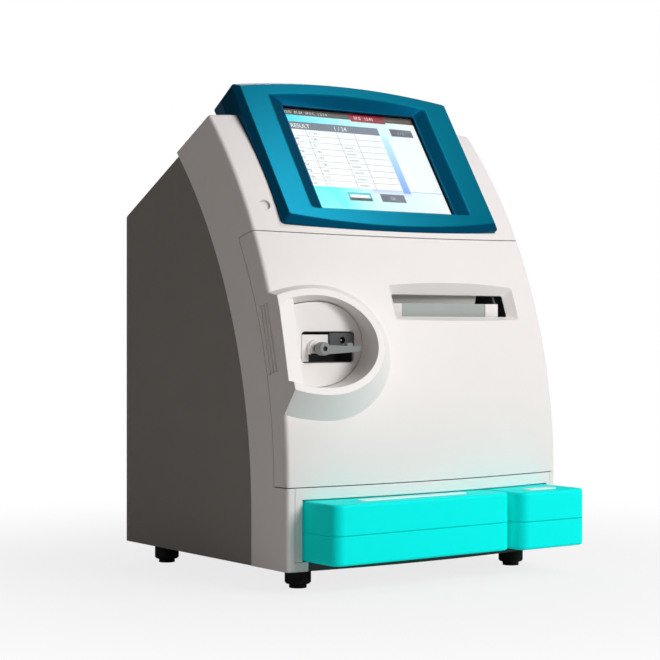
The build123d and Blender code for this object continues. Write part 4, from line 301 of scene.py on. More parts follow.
@dataclass(frozen=True)
class PaintedShadeLacquer(Finish):
    """A lacquer with painted shade: it is darker on every face behind the pod's front plane.

    Fields:
        painted_shade_colour: sRGB colour of the painted shade on the sunk faces and the outer chamfer.
        lean: the plane's lean from upright, in degrees.
        foot_mm: Y and Z of a point on the plane.
        fade_mm: how far behind the plane the painted shade starts and is full.
    """

    painted_shade_colour: str = "#000000"
    lean: float = POD_LEAN
    foot_mm: tuple[float, float] = POD_FOOT_MM
    fade_mm: tuple[float, float] = (0.2, 0.9)

    def colour_field(self, tree: bpy.types.NodeTree, place: bpy.types.NodeSocket) -> bpy.types.NodeSocket:
        """The face's colour, mixed to the painted shade colour by the distance behind the plane."""
        face = super().colour_field(tree, place)
        lean = math.radians(self.lean)
        out = (0.0, -math.cos(lean), math.sin(lean))
        level = (self.foot_mm[0] * out[1] + self.foot_mm[1] * out[2]) * MM
        height = add_node(tree, "ShaderNodeVectorMath", {"operation": "DOT_PRODUCT", 1: out}, {0: place})
        start, full = (level - depth * MM for depth in self.fade_mm)
        share = add_node(
            tree, "ShaderNodeMapRange", {"From Min": start, "From Max": full},
            {"Value": height.outputs["Value"]},
        )
        # Painted shade: faces behind the front plane take the darker colour.
        mix = add_node(
            tree, "ShaderNodeMix", {"data_type": "RGBA", 7: linear(self.painted_shade_colour)},
            {0: share.outputs["Result"], 6: face},
        )
        return mix.outputs[2]


@dataclass(frozen=True)
class ClearGlass(Finish):
    """Float glass: clear, with a sharp reflection and no grain."""

    def make(self) -> bpy.types.Material:
        """Build a transmitting shader with a faint tint."""
        material = blank_material(self.name)
        tree = material.node_tree
        shader = add_node(
            tree, "ShaderNodeBsdfPrincipled",
            {
                "Base Color": linear(self.colour), "Roughness": self.roughness, "IOR": self.ior,
                "Transmission Weight": 1.0,
            },
        )
        add_node(tree, "ShaderNodeOutputMaterial", None, {"Surface": shader.outputs["BSDF"]})
        return material


@dataclass(frozen=True)
class LitPixels(Finish):
    """Lit liquid-crystal picture: each point glows in the colour stored on the mesh.

    Fields:
        attribute: name of the stored colour.
        dark: sRGB colour of the pixels unlit.
    """

    attribute: str = "pixel"
    dark: str = "#050607"

    def make(self) -> bpy.types.Material:
        """Feed the stored colour into the shader's emission."""
        material = blank_material(self.name)
        tree = material.node_tree
        stored = add_node(
            tree, "ShaderNodeAttribute", {"attribute_type": "GEOMETRY", "attribute_name": self.attribute},
        )
        shader = add_node(
            tree, "ShaderNodeBsdfPrincipled",
            {"Base Color": linear(self.dark), "Roughness": self.roughness, "Emission Strength": self.glow},
            {"Emission Color": stored.outputs["Color"]},
        )
        add_node(tree, "ShaderNodeOutputMaterial", None, {"Surface": shader.outputs["BSDF"]})
        return material

    def store(self, item: bpy.types.Object, colours: Array) -> None:
        """Store the colours on a mesh.

        Args:
            item: the object that holds the mesh.
            colours: a linear colour for each point.
        """
        layer = item.data.attributes.new(self.attribute, "FLOAT_COLOR", "POINT")
        layer.data.foreach_set("color", colours.reshape(-1))


# ABS from an eroded mould: a satin white that goes warm grey in shade.
WHITE_ABS = Finish("moulded ABS, warm white", "#F1EEEC", roughness=0.42, grain_mm=1.1, relief_mm=0.012,
                   edge_mm=0.9, tone=0.015)
# Powder coat on steel sheet: fine orange peel, dull.
DARK_COAT = Finish("powder-coated steel, dark grey", "#8E8D88", Pattern.COATED, roughness=0.55, grain_mm=1.6,
                   relief_mm=0.05, edge_mm=0.7, tone=0.05)
# Painted ABS with a pearl lacquer: deep blue-green, with painted shade that darkens the sunk faces and the
# outer chamfer.
# Its highlights come from the tinted flakes and keep its colour, so the index of the clear binder over them
# is low.
TEAL_LACQUER = PaintedShadeLacquer("pearl lacquer on ABS, blue-green", "#006F89", roughness=0.27, metallic=0.35,
                       grain_mm=1.0, relief_mm=0.006, edge_mm=0.8, tone=0.03, ior=1.06, marks=0.02,
                       painted_shade_colour="#004C6C")
TEAL_ABS = Finish("moulded ABS, dark blue-green", "#005676", roughness=0.5, grain_mm=1.2, tone=0.04)
# Polypropylene: waxy, with hardly a white sheen; its faint glow is painted light that keeps it full in colour
# in shade.
CYAN_PP = Finish("moulded polypropylene, cyan", "#00FAF4", roughness=0.5, grain_mm=1.6, relief_mm=0.01,
                 edge_mm=0.7, tone=0.01, ior=1.15, glow=0.05)
# Foil laminate: glossy, with soft creases.
POUCH_FILM = Finish("laminated pouch film", "#D5DADC", Pattern.ROLLED, roughness=0.28, grain_mm=9.0,
                    relief_mm=0.5, tone=0.06)
BLACK_ABS = Finish("moulded ABS, black", "#1B1C1E", roughness=0.45, grain_mm=1.2, relief_mm=0.02, tone=0.08)
CHARCOAL_ABS = Finish("moulded ABS, charcoal", "#45484A", roughness=0.42, grain_mm=1.0, tone=0.05)
GREY_ABS = Finish("moulded ABS, mid grey", "#868D8B", roughness=0.4, grain_mm=0.9, relief_mm=0.008, tone=0.03)
BLACK_COAT = Finish("powder-coated steel, black", "#3A3A3A", Pattern.COATED, roughness=0.5, grain_mm=1.6,
                    relief_mm=0.05, edge_mm=0.7, tone=0.08)
PALE_ABS = Finish("moulded ABS, pale grey", "#DEDCDA", roughness=0.45, grain_mm=1.0, tone=0.03)
# Anodised bar: grey-green with fine lines along it.
TEAR_METAL = Finish("brushed anodised bar, grey-green", "#A9B2AE", Pattern.BRUSHED, roughness=0.42,
                    metallic=0.35, grain_mm=0.9, relief_mm=0.02, tone=0.04)
# Bare metals: turned or drawn ones are bright, zinc plate is dull and cloudy.
STEEL = Finish("bright turned steel", "#C3C5C8", Pattern.ROLLED, roughness=0.26, metallic=1.0, grain_mm=0.8,
               relief_mm=0.01, edge_mm=0.3)
ZINC_SHEET = Finish("zinc-plated sheet", "#AEB2B5", Pattern.ROLLED, roughness=0.4, metallic=0.9, grain_mm=6.0,
                    relief_mm=0.03, edge_mm=0.4, tone=0.1)
ALUMINIUM = Finish("milled aluminium", "#B9BBBD", Pattern.BRUSHED, roughness=0.34, metallic=1.0, grain_mm=0.7)
BRASS = Finish("bright brass", "#CDB06A", Pattern.ROLLED, roughness=0.24, metallic=1.0, edge_mm=0.3)
# Rubber swallows light and shows no highlight.
FOOT_RUBBER = Finish("moulded rubber, black", "#141414", Pattern.COATED, roughness=0.78, grain_mm=1.0,
                     relief_mm=0.05, tone=0.15)
SILICONE = Finish("extruded silicone", "#D8CFB4", Pattern.ROLLED, roughness=0.3, grain_mm=3.0, tone=0.05)
PRINT_PAPER = Finish("thermal paper", "#F3F1EC", Pattern.PRESSED, roughness=0.7, grain_mm=0.8,
                     relief_mm=0.03, edge_mm=0.1, tone=0.02)
# Glossy green lacquer over copper tracks, which make its colour uneven.
SOLDER_MASK = Finish("solder mask on laminate", "#1C6B3C", roughness=0.3, grain_mm=2.5, relief_mm=0.03,
                     tone=0.2)
LAMP_LENS = Finish("frosted lens", "#EDEAE8", roughness=0.25, grain_mm=0.8, tone=0.02, coat=0.4)
# Glass with an anti-reflection coat mirrors almost nothing, so its index is far below that of plain glass.
SCREEN_GLASS = ClearGlass("coated float glass", "#F4FAFA", roughness=0.02, ior=1.08)
SCREEN_PIXELS = LitPixels("lit liquid-crystal pixels", "#FFFFFF", roughness=0.3, glow=0.97)
# Pad let into each pack's top recess: nearly white with a faint cyan cast, a painted highlight.
PAINTED_HIGHLIGHT_PAD = Finish("pale pad, painted highlight", "#E8FFFD", roughness=0.4, grain_mm=0.9,
                        relief_mm=0.01, edge_mm=0.3, tone=0.01)
# Anodised foil: pale, brushed across, with a soft metal sheen.
LABEL_FOIL = Finish("anodised label, pale grey", "#C9CCCD", Pattern.BRUSHED, roughness=0.42, metallic=0.5,
                    grain_mm=0.7, relief_mm=0.004, edge_mm=0.1, tone=0.02)
MARK_INK = Finish("pad-printed white ink", "#E9EAE8", roughness=0.5, grain_mm=0.9, relief_mm=0.004,
                  edge_mm=0.05, tone=0.02)
SENSOR_CAP = Finish("moulded cap, blue", "#2E6FB0", roughness=0.38, grain_mm=0.9, tone=0.04)


@dataclass
class Paintbox:
    """Keeps one material for each finish."""

    made: dict[str, bpy.types.Material] = field(default_factory=dict)

    def material(self, finish: Finish) -> bpy.types.Material:
        """The material of a finish, made when it is first asked for."""
        if finish.name not in self.made:
            self.made[finish.name] = finish.make()
        return self.made[finish.name]

    def paint(self, item: bpy.types.Object, finish: Finish) -> None:
        """Give an object one finish all over.

        Args:
            item: a mesh object.
            finish: what it is made of.
        """
        item.data.materials.clear()
        item.data.materials.append(self.material(finish))

    def paint_nodes(self, finish: Finish, *names: str) -> None:
        """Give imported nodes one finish.

        Args:
            finish: what they are made of.
            names: the nodes' names.
        """
        for name in names:
            self.paint(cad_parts[name], finish)
            LOG.info("dressed %s in %s", name, finish.name)


@dataclass
class Piece:
    """A new piece: what it is made of, what it rides on and the name of its slot."""

    item: bpy.types.Object
    finish: Finish
    body: str
    slot: str

    def place(self, paintbox: Paintbox) -> bpy.types.Object:
        """Paint the piece, let it ride on its body and report it.

        Args:
            paintbox: keeps the materials.

        Returns:
            The piece's object.
        """
        paintbox.paint(self.item, self.finish)
        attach(self.item, self.body)
        LOG.info("placed %s on %s", self.item.name, self.body)
        return self.item


@dataclass
class Sheet:
    """A flat face in space, with a right, an up and an outward direction."""

    origin: Array
    right: Array
    up: Array

    def at(self, u: Array, v: Array, w: Array | float = 0.0) -> Array:
        """Points at u to the right, v up and w outwards, in metres."""
        out = np.cross(self.right, self.up)
        u, v, w = np.broadcast_arrays(u, v, w)
        return self.origin + u[..., None] * self.right + v[..., None] * self.up + w[..., None] * out


# ---------------------------------------------------------------- housing
@dataclass
class Housing:
    """Dark rear cover, back panel with its fittings, tray and feet."""

    def dress(self, paintbox: Paintbox) -> None:
        """Paint the cover, the sheet parts, the fan and the rear fittings."""
        paintbox.paint_nodes(DARK_COAT, "rear_housing", "back_panel")
        paintbox.paint_nodes(BLACK_COAT, "base_tray")
        paintbox.paint_nodes(ZINC_SHEET, "electronics_shelf", "bay_liner", "instrument_plate", "power_supply")
        paintbox.paint_nodes(FOOT_RUBBER, "feet")
        paintbox.paint_nodes(STEEL, "screws", "fan_guard", "data_ports")
        paintbox.paint_nodes(BLACK_ABS, "fan_frame", "fan_rotor", "power_inlet", "switch_frame")
        paintbox.paint_nodes(CHARCOAL_ABS, "rocker_switch")
        paintbox.paint_nodes(BRASS, "inlet_blades")
        paintbox.paint_nodes(SOLDER_MASK, "main_board")


# ---------------------------------------------------------------- labels at the back
@dataclass(frozen=True)
class BackLabels:
    """Blank rating plate on the back panel, and the on and off marks on the mains rocker.

    Fields:
        plate_mm: half the plate's width and height.
        plate_place_mm: its middle, in from the panel's right edge and up from its foot.
        plate_corner_mm: radius of its corners.
        thick_mm: how far the plate and the marks stand proud.
        sink_mm: how far they reach into what carries them.
        bar_mm: half the width and height of the bar that means on.
        bar_corner_mm: radius of its corners.
        ring_mm: outer and inner radius of the ring that means off.
        mark_reach_mm: distance of the marks from the rocker's pin.
        rocker_face_mm: the rocker's face in front of its pin.
        rocker_lean: how far the rocker leans at rest, in degrees.
        steps: points round an outline.
    """

    plate_mm: tuple[float, float] = (29.0, 17.0)
    plate_place_mm: tuple[float, float] = (86.0, 118.0)
    plate_corner_mm: float = 2.5
    thick_mm: float = 0.25
    sink_mm: float = 0.05
    bar_mm: tuple[float, float] = (0.55, 2.2)
    bar_corner_mm: float = 0.3
    ring_mm: tuple[float, float] = (2.3, 1.4)
    mark_reach_mm: float = 5.6
    rocker_face_mm: float = 6.0
    rocker_lean: float = 6.0
    steps: int = 48

    @property
    def across(self) -> Array:
        """To the right of someone who looks at the back."""
        return np.array([-1.0, 0.0, 0.0])

    def tablet(self, name: str, sheet: Sheet, half: tuple[float, float], corner: float,
               bore: float = 0.0) -> bpy.types.Object:
        """Make a thin raised shape with round corners, solid or with a round hole.

        A point of the outline is the corner's middle plus r (cos a, sin a). That middle is half the size less
        r, with the signs of cos a and sin a.

        Args:
            name: the object's name.
            sheet: the face it lies on.
            half: half its width and height in mm.
            corner: radius of its corners in mm.
            bore: radius of the hole in mm, or 0 for none.

        Returns:
            The object.
        """
        angle = (np.arange(self.steps) + 0.5) * 2 * math.pi / self.steps
        round_trip = np.stack([np.cos(angle), np.sin(angle)])
        outline = np.sign(round_trip) * (np.array(half)[:, None] - corner) + corner * round_trip
        inner = bore * round_trip
        low, high = -self.sink_mm, self.thick_mm
        loops = [(outline, low), (outline, high), (inner, high), (inner, low)]
        points = np.stack([sheet.at(*(loop * MM), level * MM) for loop, level in loops])
        return welded(surface(name, points, closed_u=True, closed_v=True))

    def plate(self) -> bpy.types.Object:
        """Make the blank plate on the back panel's outer face."""
        low, high = (np.array(corner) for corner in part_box("back_panel"))
        aside, above = self.plate_place_mm
        middle = np.array([high[0] - aside * MM, high[1], low[2] + above * MM])
        sheet = Sheet(middle, self.across, np.array([0.0, 0.0, 1.0]))
        return self.tablet("rating_plate", sheet, self.plate_mm, self.plate_corner_mm)

    def marks(self) -> list[bpy.types.Object]:
        """Make the bar above and the ring below the pin, on the leaning face of the rocker."""
        lean = math.radians(self.rocker_lean)
        upward = np.array([0.0, -math.sin(lean), math.cos(lean)])
        outward = np.array([0.0, math.cos(lean), math.sin(lean)])
        pin = np.mean([np.array(corner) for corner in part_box("rocker_switch")], axis=0)
        face = pin + self.rocker_face_mm * MM * outward
        reach = self.mark_reach_mm * MM * upward
        ring, bore = self.ring_mm
        above, below = (Sheet(face + way * reach, self.across, upward) for way in (1, -1))
        return [
            self.tablet("switch_mark_on", above, self.bar_mm, self.bar_corner_mm),
            self.tablet("switch_mark_off", below, (ring, ring), ring, bore),
        ]

    def dress(self, paintbox: Paintbox) -> None:
        """Set the plate on the back panel and the marks on the rocker."""
        Piece(self.plate(), LABEL_FOIL, "chassis", "aluminium_block").place(paintbox)
        for mark in self.marks():
            Piece(mark, MARK_INK, "rocker", "paper_white").place(paintbox)


# ---------------------------------------------------------------- front mouldings
@dataclass
class Front:
    """Light arch, hinged door with its bowl, and the frame of the reagent bay."""

    def dress(self, paintbox: Paintbox) -> None:
        """Paint the light mouldings and the door's hidden metalwork."""
        paintbox.paint_nodes(WHITE_ABS, "front_shell", "door", "bay_frame")
        paintbox.paint_nodes(STEEL, "hinge_pins", "door_strike")
        paintbox.paint_nodes(BLACK_ABS, "door_catch")
        paintbox.paint_nodes(LAMP_LENS, "status_lamp")


@dataclass
class SampleStation:
    """Panel, blocks, lever and needle behind the bowl."""

    def dress(self, paintbox: Paintbox) -> None:
        """Paint the panel white, the port charcoal and the lever grey."""
        paintbox.paint_nodes(WHITE_ABS, "sampler_panel", "sampler_insert")
        paintbox.paint_nodes(CHARCOAL_ABS, "sampler_port", "sampler_block")
        paintbox.paint_nodes(GREY_ABS, "sample_lever")
        paintbox.paint_nodes(BLACK_ABS, "lever_pivot")
        paintbox.paint_nodes(STEEL, "sample_probe")


@dataclass
class WetSide:
    """Sensors, pump and tubes behind the door."""

    def dress(self, paintbox: Paintbox) -> None:
        """Paint the blocks, wheels and tubes."""
        paintbox.paint_nodes(ALUMINIUM, "sensor_housing")
        paintbox.paint_nodes(SENSOR_CAP, "sensors")
        paintbox.paint_nodes(BLACK_ABS, "pump_housing", "pump_motor")
        paintbox.paint_nodes(PALE_ABS, "pump_rotor")
        paintbox.paint_nodes(STEEL, "pump_rollers")
        paintbox.paint_nodes(SILICONE, "pump_tube", "transfer_tubes")


@dataclass
class Printer:
    """Strip printer behind the recess in the door."""

    def dress(self, paintbox: Paintbox) -> None:
        """Paint the printer's body, bar, rollers and paper."""
        paintbox.paint_nodes(CHARCOAL_ABS, "printer_body")
        paintbox.paint_nodes(WHITE_ABS, "bar_clips")
        paintbox.paint_nodes(TEAR_METAL, "tear_bar")
        paintbox.paint_nodes(STEEL, "paper_spindle")
        paintbox.paint_nodes(FOOT_RUBBER, "platen_roller")
        paintbox.paint_nodes(PRINT_PAPER, "paper_roll")


@dataclass
class ReagentBay:
    """Two reagent packs, their rails and the dock behind them.

    Fields:
        grip_lengths_mm: length of the pale pad, a painted highlight, on top of each pack.
        grip_width_mm: its width.
        setback_mm: its middle behind the pack's front.
        sink_mm: its foot below the pack's top.
        rise_mm: its top above it.
        round_mm: radius of its upper edge.
        arc_steps: points round one of its ends.
        round_steps: points up the round of its edge.
    """

    grip_lengths_mm: dict[str, float] = field(default_factory=lambda: {"large": 131.6, "small": 39.6})
    grip_width_mm: float = 11.6
    setback_mm: float = 22.0
    sink_mm: float = 1.6
    rise_mm: float = 1.1
    round_mm: float = 0.8
    arc_steps: int = 16
    round_steps: int = 7

    def grip(self, size: str) -> bpy.types.Object:
        """Make a long pad with round ends.

        A point is r (cos a, sin a) from the middle of the nearer end's circle. Up the profile, r stays at
        half the width on the wall, shrinks over a quarter circle at the upper edge, and ends at zero on top.

        Args:
            size: which pack carries it.

        Returns:
            The pad's object.
        """
        low, high = (np.array(corner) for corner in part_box(f"{size}_pack_upper"))
        half = self.grip_width_mm / 2
        reach = self.grip_lengths_mm[size] / 2 - half
        turn = np.linspace(0, math.pi / 2, self.round_steps)
        inset = np.concatenate([[half, 0.0], self.round_mm * (1 - np.cos(turn)), [half]])
        edge = self.rise_mm - self.round_mm + self.round_mm * np.sin(turn)
        height = np.concatenate([[-self.sink_mm, -self.sink_mm], edge, [self.rise_mm]])[:, None]
        right = np.linspace(-math.pi / 2, math.pi / 2, self.arc_steps)
        angle = np.concatenate([right, right + math.pi])
        side = np.repeat([1.0, -1.0], self.arc_steps)
        radius = (half - inset)[:, None]
        x, y = side * reach + radius * np.cos(angle), radius * np.sin(angle)
        points = np.stack([x, y, np.broadcast_to(height, x.shape)], axis=-1) * MM
        middle = np.array([(low[0] + high[0]) / 2, low[1] + self.setback_mm * MM, high[2]])
        return welded(surface(f"{size}_pack_grip", points + middle, closed_v=True))

    def dress(self, paintbox: Paintbox) -> None:
        """Paint the packs cyan, lay a pale pad in each as a painted highlight and paint the dock in metal."""
        for size in self.grip_lengths_mm:
            paintbox.paint_nodes(CYAN_PP, f"{size}_pack_lower", f"{size}_pack_upper")
            paintbox.paint_nodes(POUCH_FILM, f"{size}_pack_insides")
            # The pad's near-white colour is a painted highlight along the recess on the pack's top.
            Piece(self.grip(size), PAINTED_HIGHLIGHT_PAD, f"{size}_pack", "pack_cyan").place(paintbox)
        paintbox.paint_nodes(BLACK_ABS, "pack_rails")
        paintbox.paint_nodes(ALUMINIUM, "dock_manifold")
        paintbox.paint_nodes(STEEL, "dock_needles")


# ---------------------------------------------------------------- display
@dataclass(frozen=True)
class Tile:
    """A rectangle of the picture, from left and top to right and bottom as shares of the screen.

    Fields:
        box: left, top, right and bottom.
        colours: at the left and the right edge, or all over where there is one.
        layer: tiles with a higher layer lie in front.
        upright: whether the two colours are at the bottom and the top instead.
    """

    box: tuple[float, float, float, float]
    colours: tuple[str, ...]
    layer: int = 0
    upright: bool = False

    def corners(self) -> list[str]:
        """Colours at the bottom left, bottom right, top right and top left corner."""
        ends = (0, 0, 1, 1) if self.upright else (0, 1, 1, 0)
        return [self.colours[min(end, len(self.colours) - 1)] for end in ends]


@dataclass
class Display:
    """Blue-green pod with the lit touch screen.

    Fields:
        lean: the pod's lean from upright, in degrees.
        foot_mm: Y and Z of the pod's lower front edge.
        centre_mm: height of the screen's middle above that edge, along the face.
        size_mm: width and height of the visible screen.
        picture_mm: depth of the picture behind the face.
        layer_mm: step between the picture's layers.
        table: right, top and bottom of the table, as shares of the screen.
        column_starts: left edges of its columns.
        rule: width of the lines between its cells.
        rule_colour: their colour.
        text_inset: how far its words stand from the left edge of their column.
        text_layer: layer of the lettering.
        size_per_capital: font size for a capital of height 1.
        row_names, row_values: chemical signs and plain numbers in its rows.
    """

    lean: float = POD_LEAN
    foot_mm: tuple[float, float] = POD_FOOT_MM
    centre_mm: float = 83.0
    size_mm: tuple[float, float] = (171.0, 130.0)
    picture_mm: float = 9.4
    layer_mm: float = 0.02
    table: tuple[float, float, float] = (0.69, 0.204, 0.765)
    column_starts: tuple[float, ...] = (0.0, 0.12, 0.35, 0.485)
    rule: float = 0.004
    rule_colour: str = "#A9ADAE"
    text_inset: float = 0.018
    text_layer: int = 4
    size_per_capital: float = 1.4
    row_names: tuple[str, ...] = ("pH", "K", "Na", "Cl", "Ca", "Mg", "Glu", "Lac")
    row_values: tuple[str, ...] = ("7.40", "4.1", "140", "103", "1.20", "0.95", "5.3", "1.1")

    def sheet(self) -> Sheet:
        """The plane of the picture, with its origin in the middle of the screen."""
        lean = math.radians(self.lean)
        up = np.array([0.0, math.sin(lean), math.cos(lean)])
        out = np.array([0.0, -math.cos(lean), math.sin(lean)])
        foot = np.array([0.0, *self.foot_mm]) * MM
        origin = foot + up * self.centre_mm * MM - out * self.picture_mm * MM
        return Sheet(origin, np.array([1.0, 0.0, 0.0]), up)

    def row_height(self) -> float:
        """Height of a row of the table: one for a count and one for each sign."""
        _, top, bottom = self.table
        return (bottom - top) / (len(self.row_names) + 1)

    def row_tops(self) -> Array:
        """Top of each row of the table."""
        return self.table[1] + self.row_height() * np.arange(len(self.row_names) + 1)

    def tiles(self) -> list[Tile]:
        """The picture: bars, a table of results, a side box and plain buttons."""
        right, top, bottom = self.table
        tiles = [
            Tile((0.0, 0.0, 1.0, 1.0), ("#9CFBFF", "#FFFFFF")),
            Tile((0.0, 0.0, 1.0, 0.06), ("#4B4542", "#5A4C46"), 1),
            Tile((0.505, 0.0, 0.775, 0.076), ("#A3122F", "#8A1029"), 2),
            Tile((0.0, 0.06, 0.62, 0.128), ("#00EAFF", "#D6FDFF"), 1),
            Tile((0.0, 0.128, right, top), ("#646977", "#7B8294"), 2),
            Tile((0.0, top, right, bottom), ("#FFFFFF",), 2),
            Tile((right, top, 0.745, 0.79), ("#7FA9FF", "#D2FAFF"), 1, True),
            Tile((0.745, 0.23, 1.0, 0.77), ("#FDFFFF",), 2),
            Tile((0.745, 0.77, 1.0, 0.776), ("#B9D2E4",), 2),
            Tile((0.785, 0.122, 0.96, 0.198), ("#5E616C", "#747987"), 2),
            Tile((0.0, bottom, 0.2, 1.0), ("#00FFF2", "#52F4F2"), 1),
            Tile((0.2, bottom, 0.45, 1.0), ("#52F4F2", "#D6FFFC"), 1),
            Tile((0.45, bottom, 0.745, 0.84), ("#F6FFFF", "#C7D3FF"), 1, True),
            Tile((0.45, 0.84, 1.0, 0.985), ("#D6FFFC", "#FFFFFF"), 1),
            Tile((0.25, 0.808, 0.425, 0.888), ("#10C7DA", "#10C7DA"), 2),
            Tile((0.265, 0.828, 0.41, 0.858), ("#FFFFFF",), 3),
            Tile((0.255, 0.858, 0.42, 0.886), ("#3C3D4C",), 3),
            Tile((0.495, 0.808, 0.68, 0.886), ("#5E616C", "#747987"), 2),
            # A painted shadow: the thin grey-green strip along the screen's bottom edge.
            Tile((0.0, 0.985, 1.0, 1.0), ("#93A39C",), 2),
        ]
        for y in self.row_tops()[1:]:
            tiles.append(Tile((0.0, y, right, y + self.rule), (self.rule_colour,), 3))
        for x in self.column_starts[1:]:
            tiles.append(Tile((x, top, x + self.rule, bottom), (self.rule_colour,), 3))
        return tiles

    def picture(self, paintbox: Paintbox) -> None:
        """Lay the tiles on the sheet and store each corner's colour on the mesh."""
        width, height = (s * MM for s in self.size_mm)
        tiles = self.tiles()
        box = np.array([tile.box for tile in tiles])
        layer = np.array([tile.layer for tile in tiles])[:, None] * self.layer_mm * MM
        u = (box[:, [0, 2, 2, 0]] - 0.5) * width
        v = (0.5 - box[:, [3, 3, 1, 1]]) * height
        points = self.sheet().at(u, v, layer)
        item = solid("screen_picture", points.reshape(-1, 3), np.arange(4 * len(tiles)).reshape(-1, 4))
        SCREEN_PIXELS.store(item, np.array([[linear(c) for c in tile.corners()] for tile in tiles]))
        Piece(item, SCREEN_PIXELS, "chassis", "screen_panel").place(paintbox)

    def words(self, text: str, left: float, middle: float, size: float,
              colour: str) -> tuple[Array, Array, Array]:
        """Outline a short label.

        Args:
            text: digits or a chemical sign.
            left: its left edge, as a share of the screen's width.
            middle: its middle height, as a share from the top.
            size: height of its capitals, as a share of the screen's height.
            colour: its colour.

        Returns:
            Points on the sheet, triangles and a linear colour for each point.
        """
        curve = bpy.data.curves.new("label", "FONT")
        curve.body = text
        width, height = (s * MM for s in self.size_mm)
        curve.size = size * height * self.size_per_capital
        maker = bpy.data.objects.new("label", curve)
        link(maker)
        mesh = bpy.data.meshes.new_from_object(maker.evaluated_get(bpy.context.evaluated_depsgraph_get()))
        bpy.data.objects.remove(maker)
        flat = np.array([p.co for p in mesh.vertices]).reshape(-1, 3)
        mesh.calc_loop_triangles()
        faces = np.array([t.vertices for t in mesh.loop_triangles]).reshape(-1, 3)
        u = (left - 0.5) * width + flat[:, 0]
        v = (0.5 - middle) * height + flat[:, 1] - size * height / 2
        points = self.sheet().at(u, v, self.text_layer * self.layer_mm * MM)
        return points, faces, np.tile(linear(colour), (len(points), 1))

    def lettering(self, paintbox: Paintbox) -> None:
        """Write chemical signs, values and units in the table, in one mesh."""
        name_x, value_x, unit_x, _ = (start + self.text_inset for start in self.column_starts)
        count_y, *rows_y = self.row_tops() + self.row_height() / 2
        labels = [
            self.words("RESULT", 0.022, 0.167, 0.04, "#FFFFFF"),
            self.words("1 / 24", 0.342, 0.167, 0.04, "#FFFFFF"),
            self.words("12:45   01-24   37.0 C   1 2 3 4", 0.012, 0.03, 0.024, "#E8E4E2"),
            self.words("37.0   12:45", 0.535, 0.036, 0.03, "#FBE9EC"),
            self.words("1 / 24", value_x, count_y, 0.024, "#303436"),
            self.words("OK", 0.565, 0.848, 0.028, "#C9CBD2"),
            self.words("1 / 2", 0.84, 0.161, 0.026, "#C9CBD2"),
        ]
        for y, name, value in zip(rows_y, self.row_names, self.row_values):
            labels.append(self.words(name, name_x, y, 0.026, "#303436"))
            labels.append(self.words(value, value_x, y, 0.024, "#3B4042"))
            if name != "pH":
                labels.append(self.words("mmol/L", unit_x, y, 0.022, "#45494B"))
        points, faces, colours = zip(*labels)
        starts = np.cumsum([0] + [len(group) for group in points])
        shifted = [group + start for group, start in zip(faces, starts)]
        item = solid("screen_lettering", np.vstack(points), np.vstack(shifted))
        SCREEN_PIXELS.store(item, np.vstack(colours))
        Piece(item, SCREEN_PIXELS, "chassis", "screen_panel").place(paintbox)

    def dress(self, paintbox: Paintbox) -> None:
        """Paint the pod and add the lit picture."""
        paintbox.paint_nodes(TEAL_LACQUER, "display_bezel")
        paintbox.paint_nodes(TEAL_ABS, "display_back")
        paintbox.paint_nodes(SCREEN_GLASS, "touch_glass")
        paintbox.paint_nodes(BLACK_ABS, "display_panel")
        paintbox.paint_nodes(SOLDER_MASK, "display_board")
        self.picture(paintbox)
        self.lettering(paintbox)


# ---------------------------------------------------------------- studio
@dataclass(frozen=True)
class Lamp:
    """A square lamp that points at a place.

    Fields:
        name: the lamp's name.
        place: where it hangs, in metres.
        aim: the point that it lights.
        size: its edge.
        power: its power in watts.
        colour: its linear colour.
    """

    name: str
    place: tuple[float, float, float]
    aim: tuple[float, float, float]
    size: float
    power: float
    colour: tuple[float, float, float] = WHITE_LIGHT

    def hang(self) -> None:
        """Put the lamp into the scene and turn it so that its -Z axis meets the aim."""
        lamp = bpy.data.lights.new(self.name, "AREA")
        lamp.shape = "SQUARE"
        lamp.size = self.size
        lamp.energy = self.power
        lamp.color = self.colour
        item = bpy.data.objects.new(self.name, lamp)
        item.location = self.place
        way = np.array(self.aim) - np.array(self.place)
        tip = math.acos(-way[2] / np.linalg.norm(way))
        item.rotation_euler = (tip, 0.0, math.atan2(way[1], way[0]) - math.pi / 2)
        link(item)


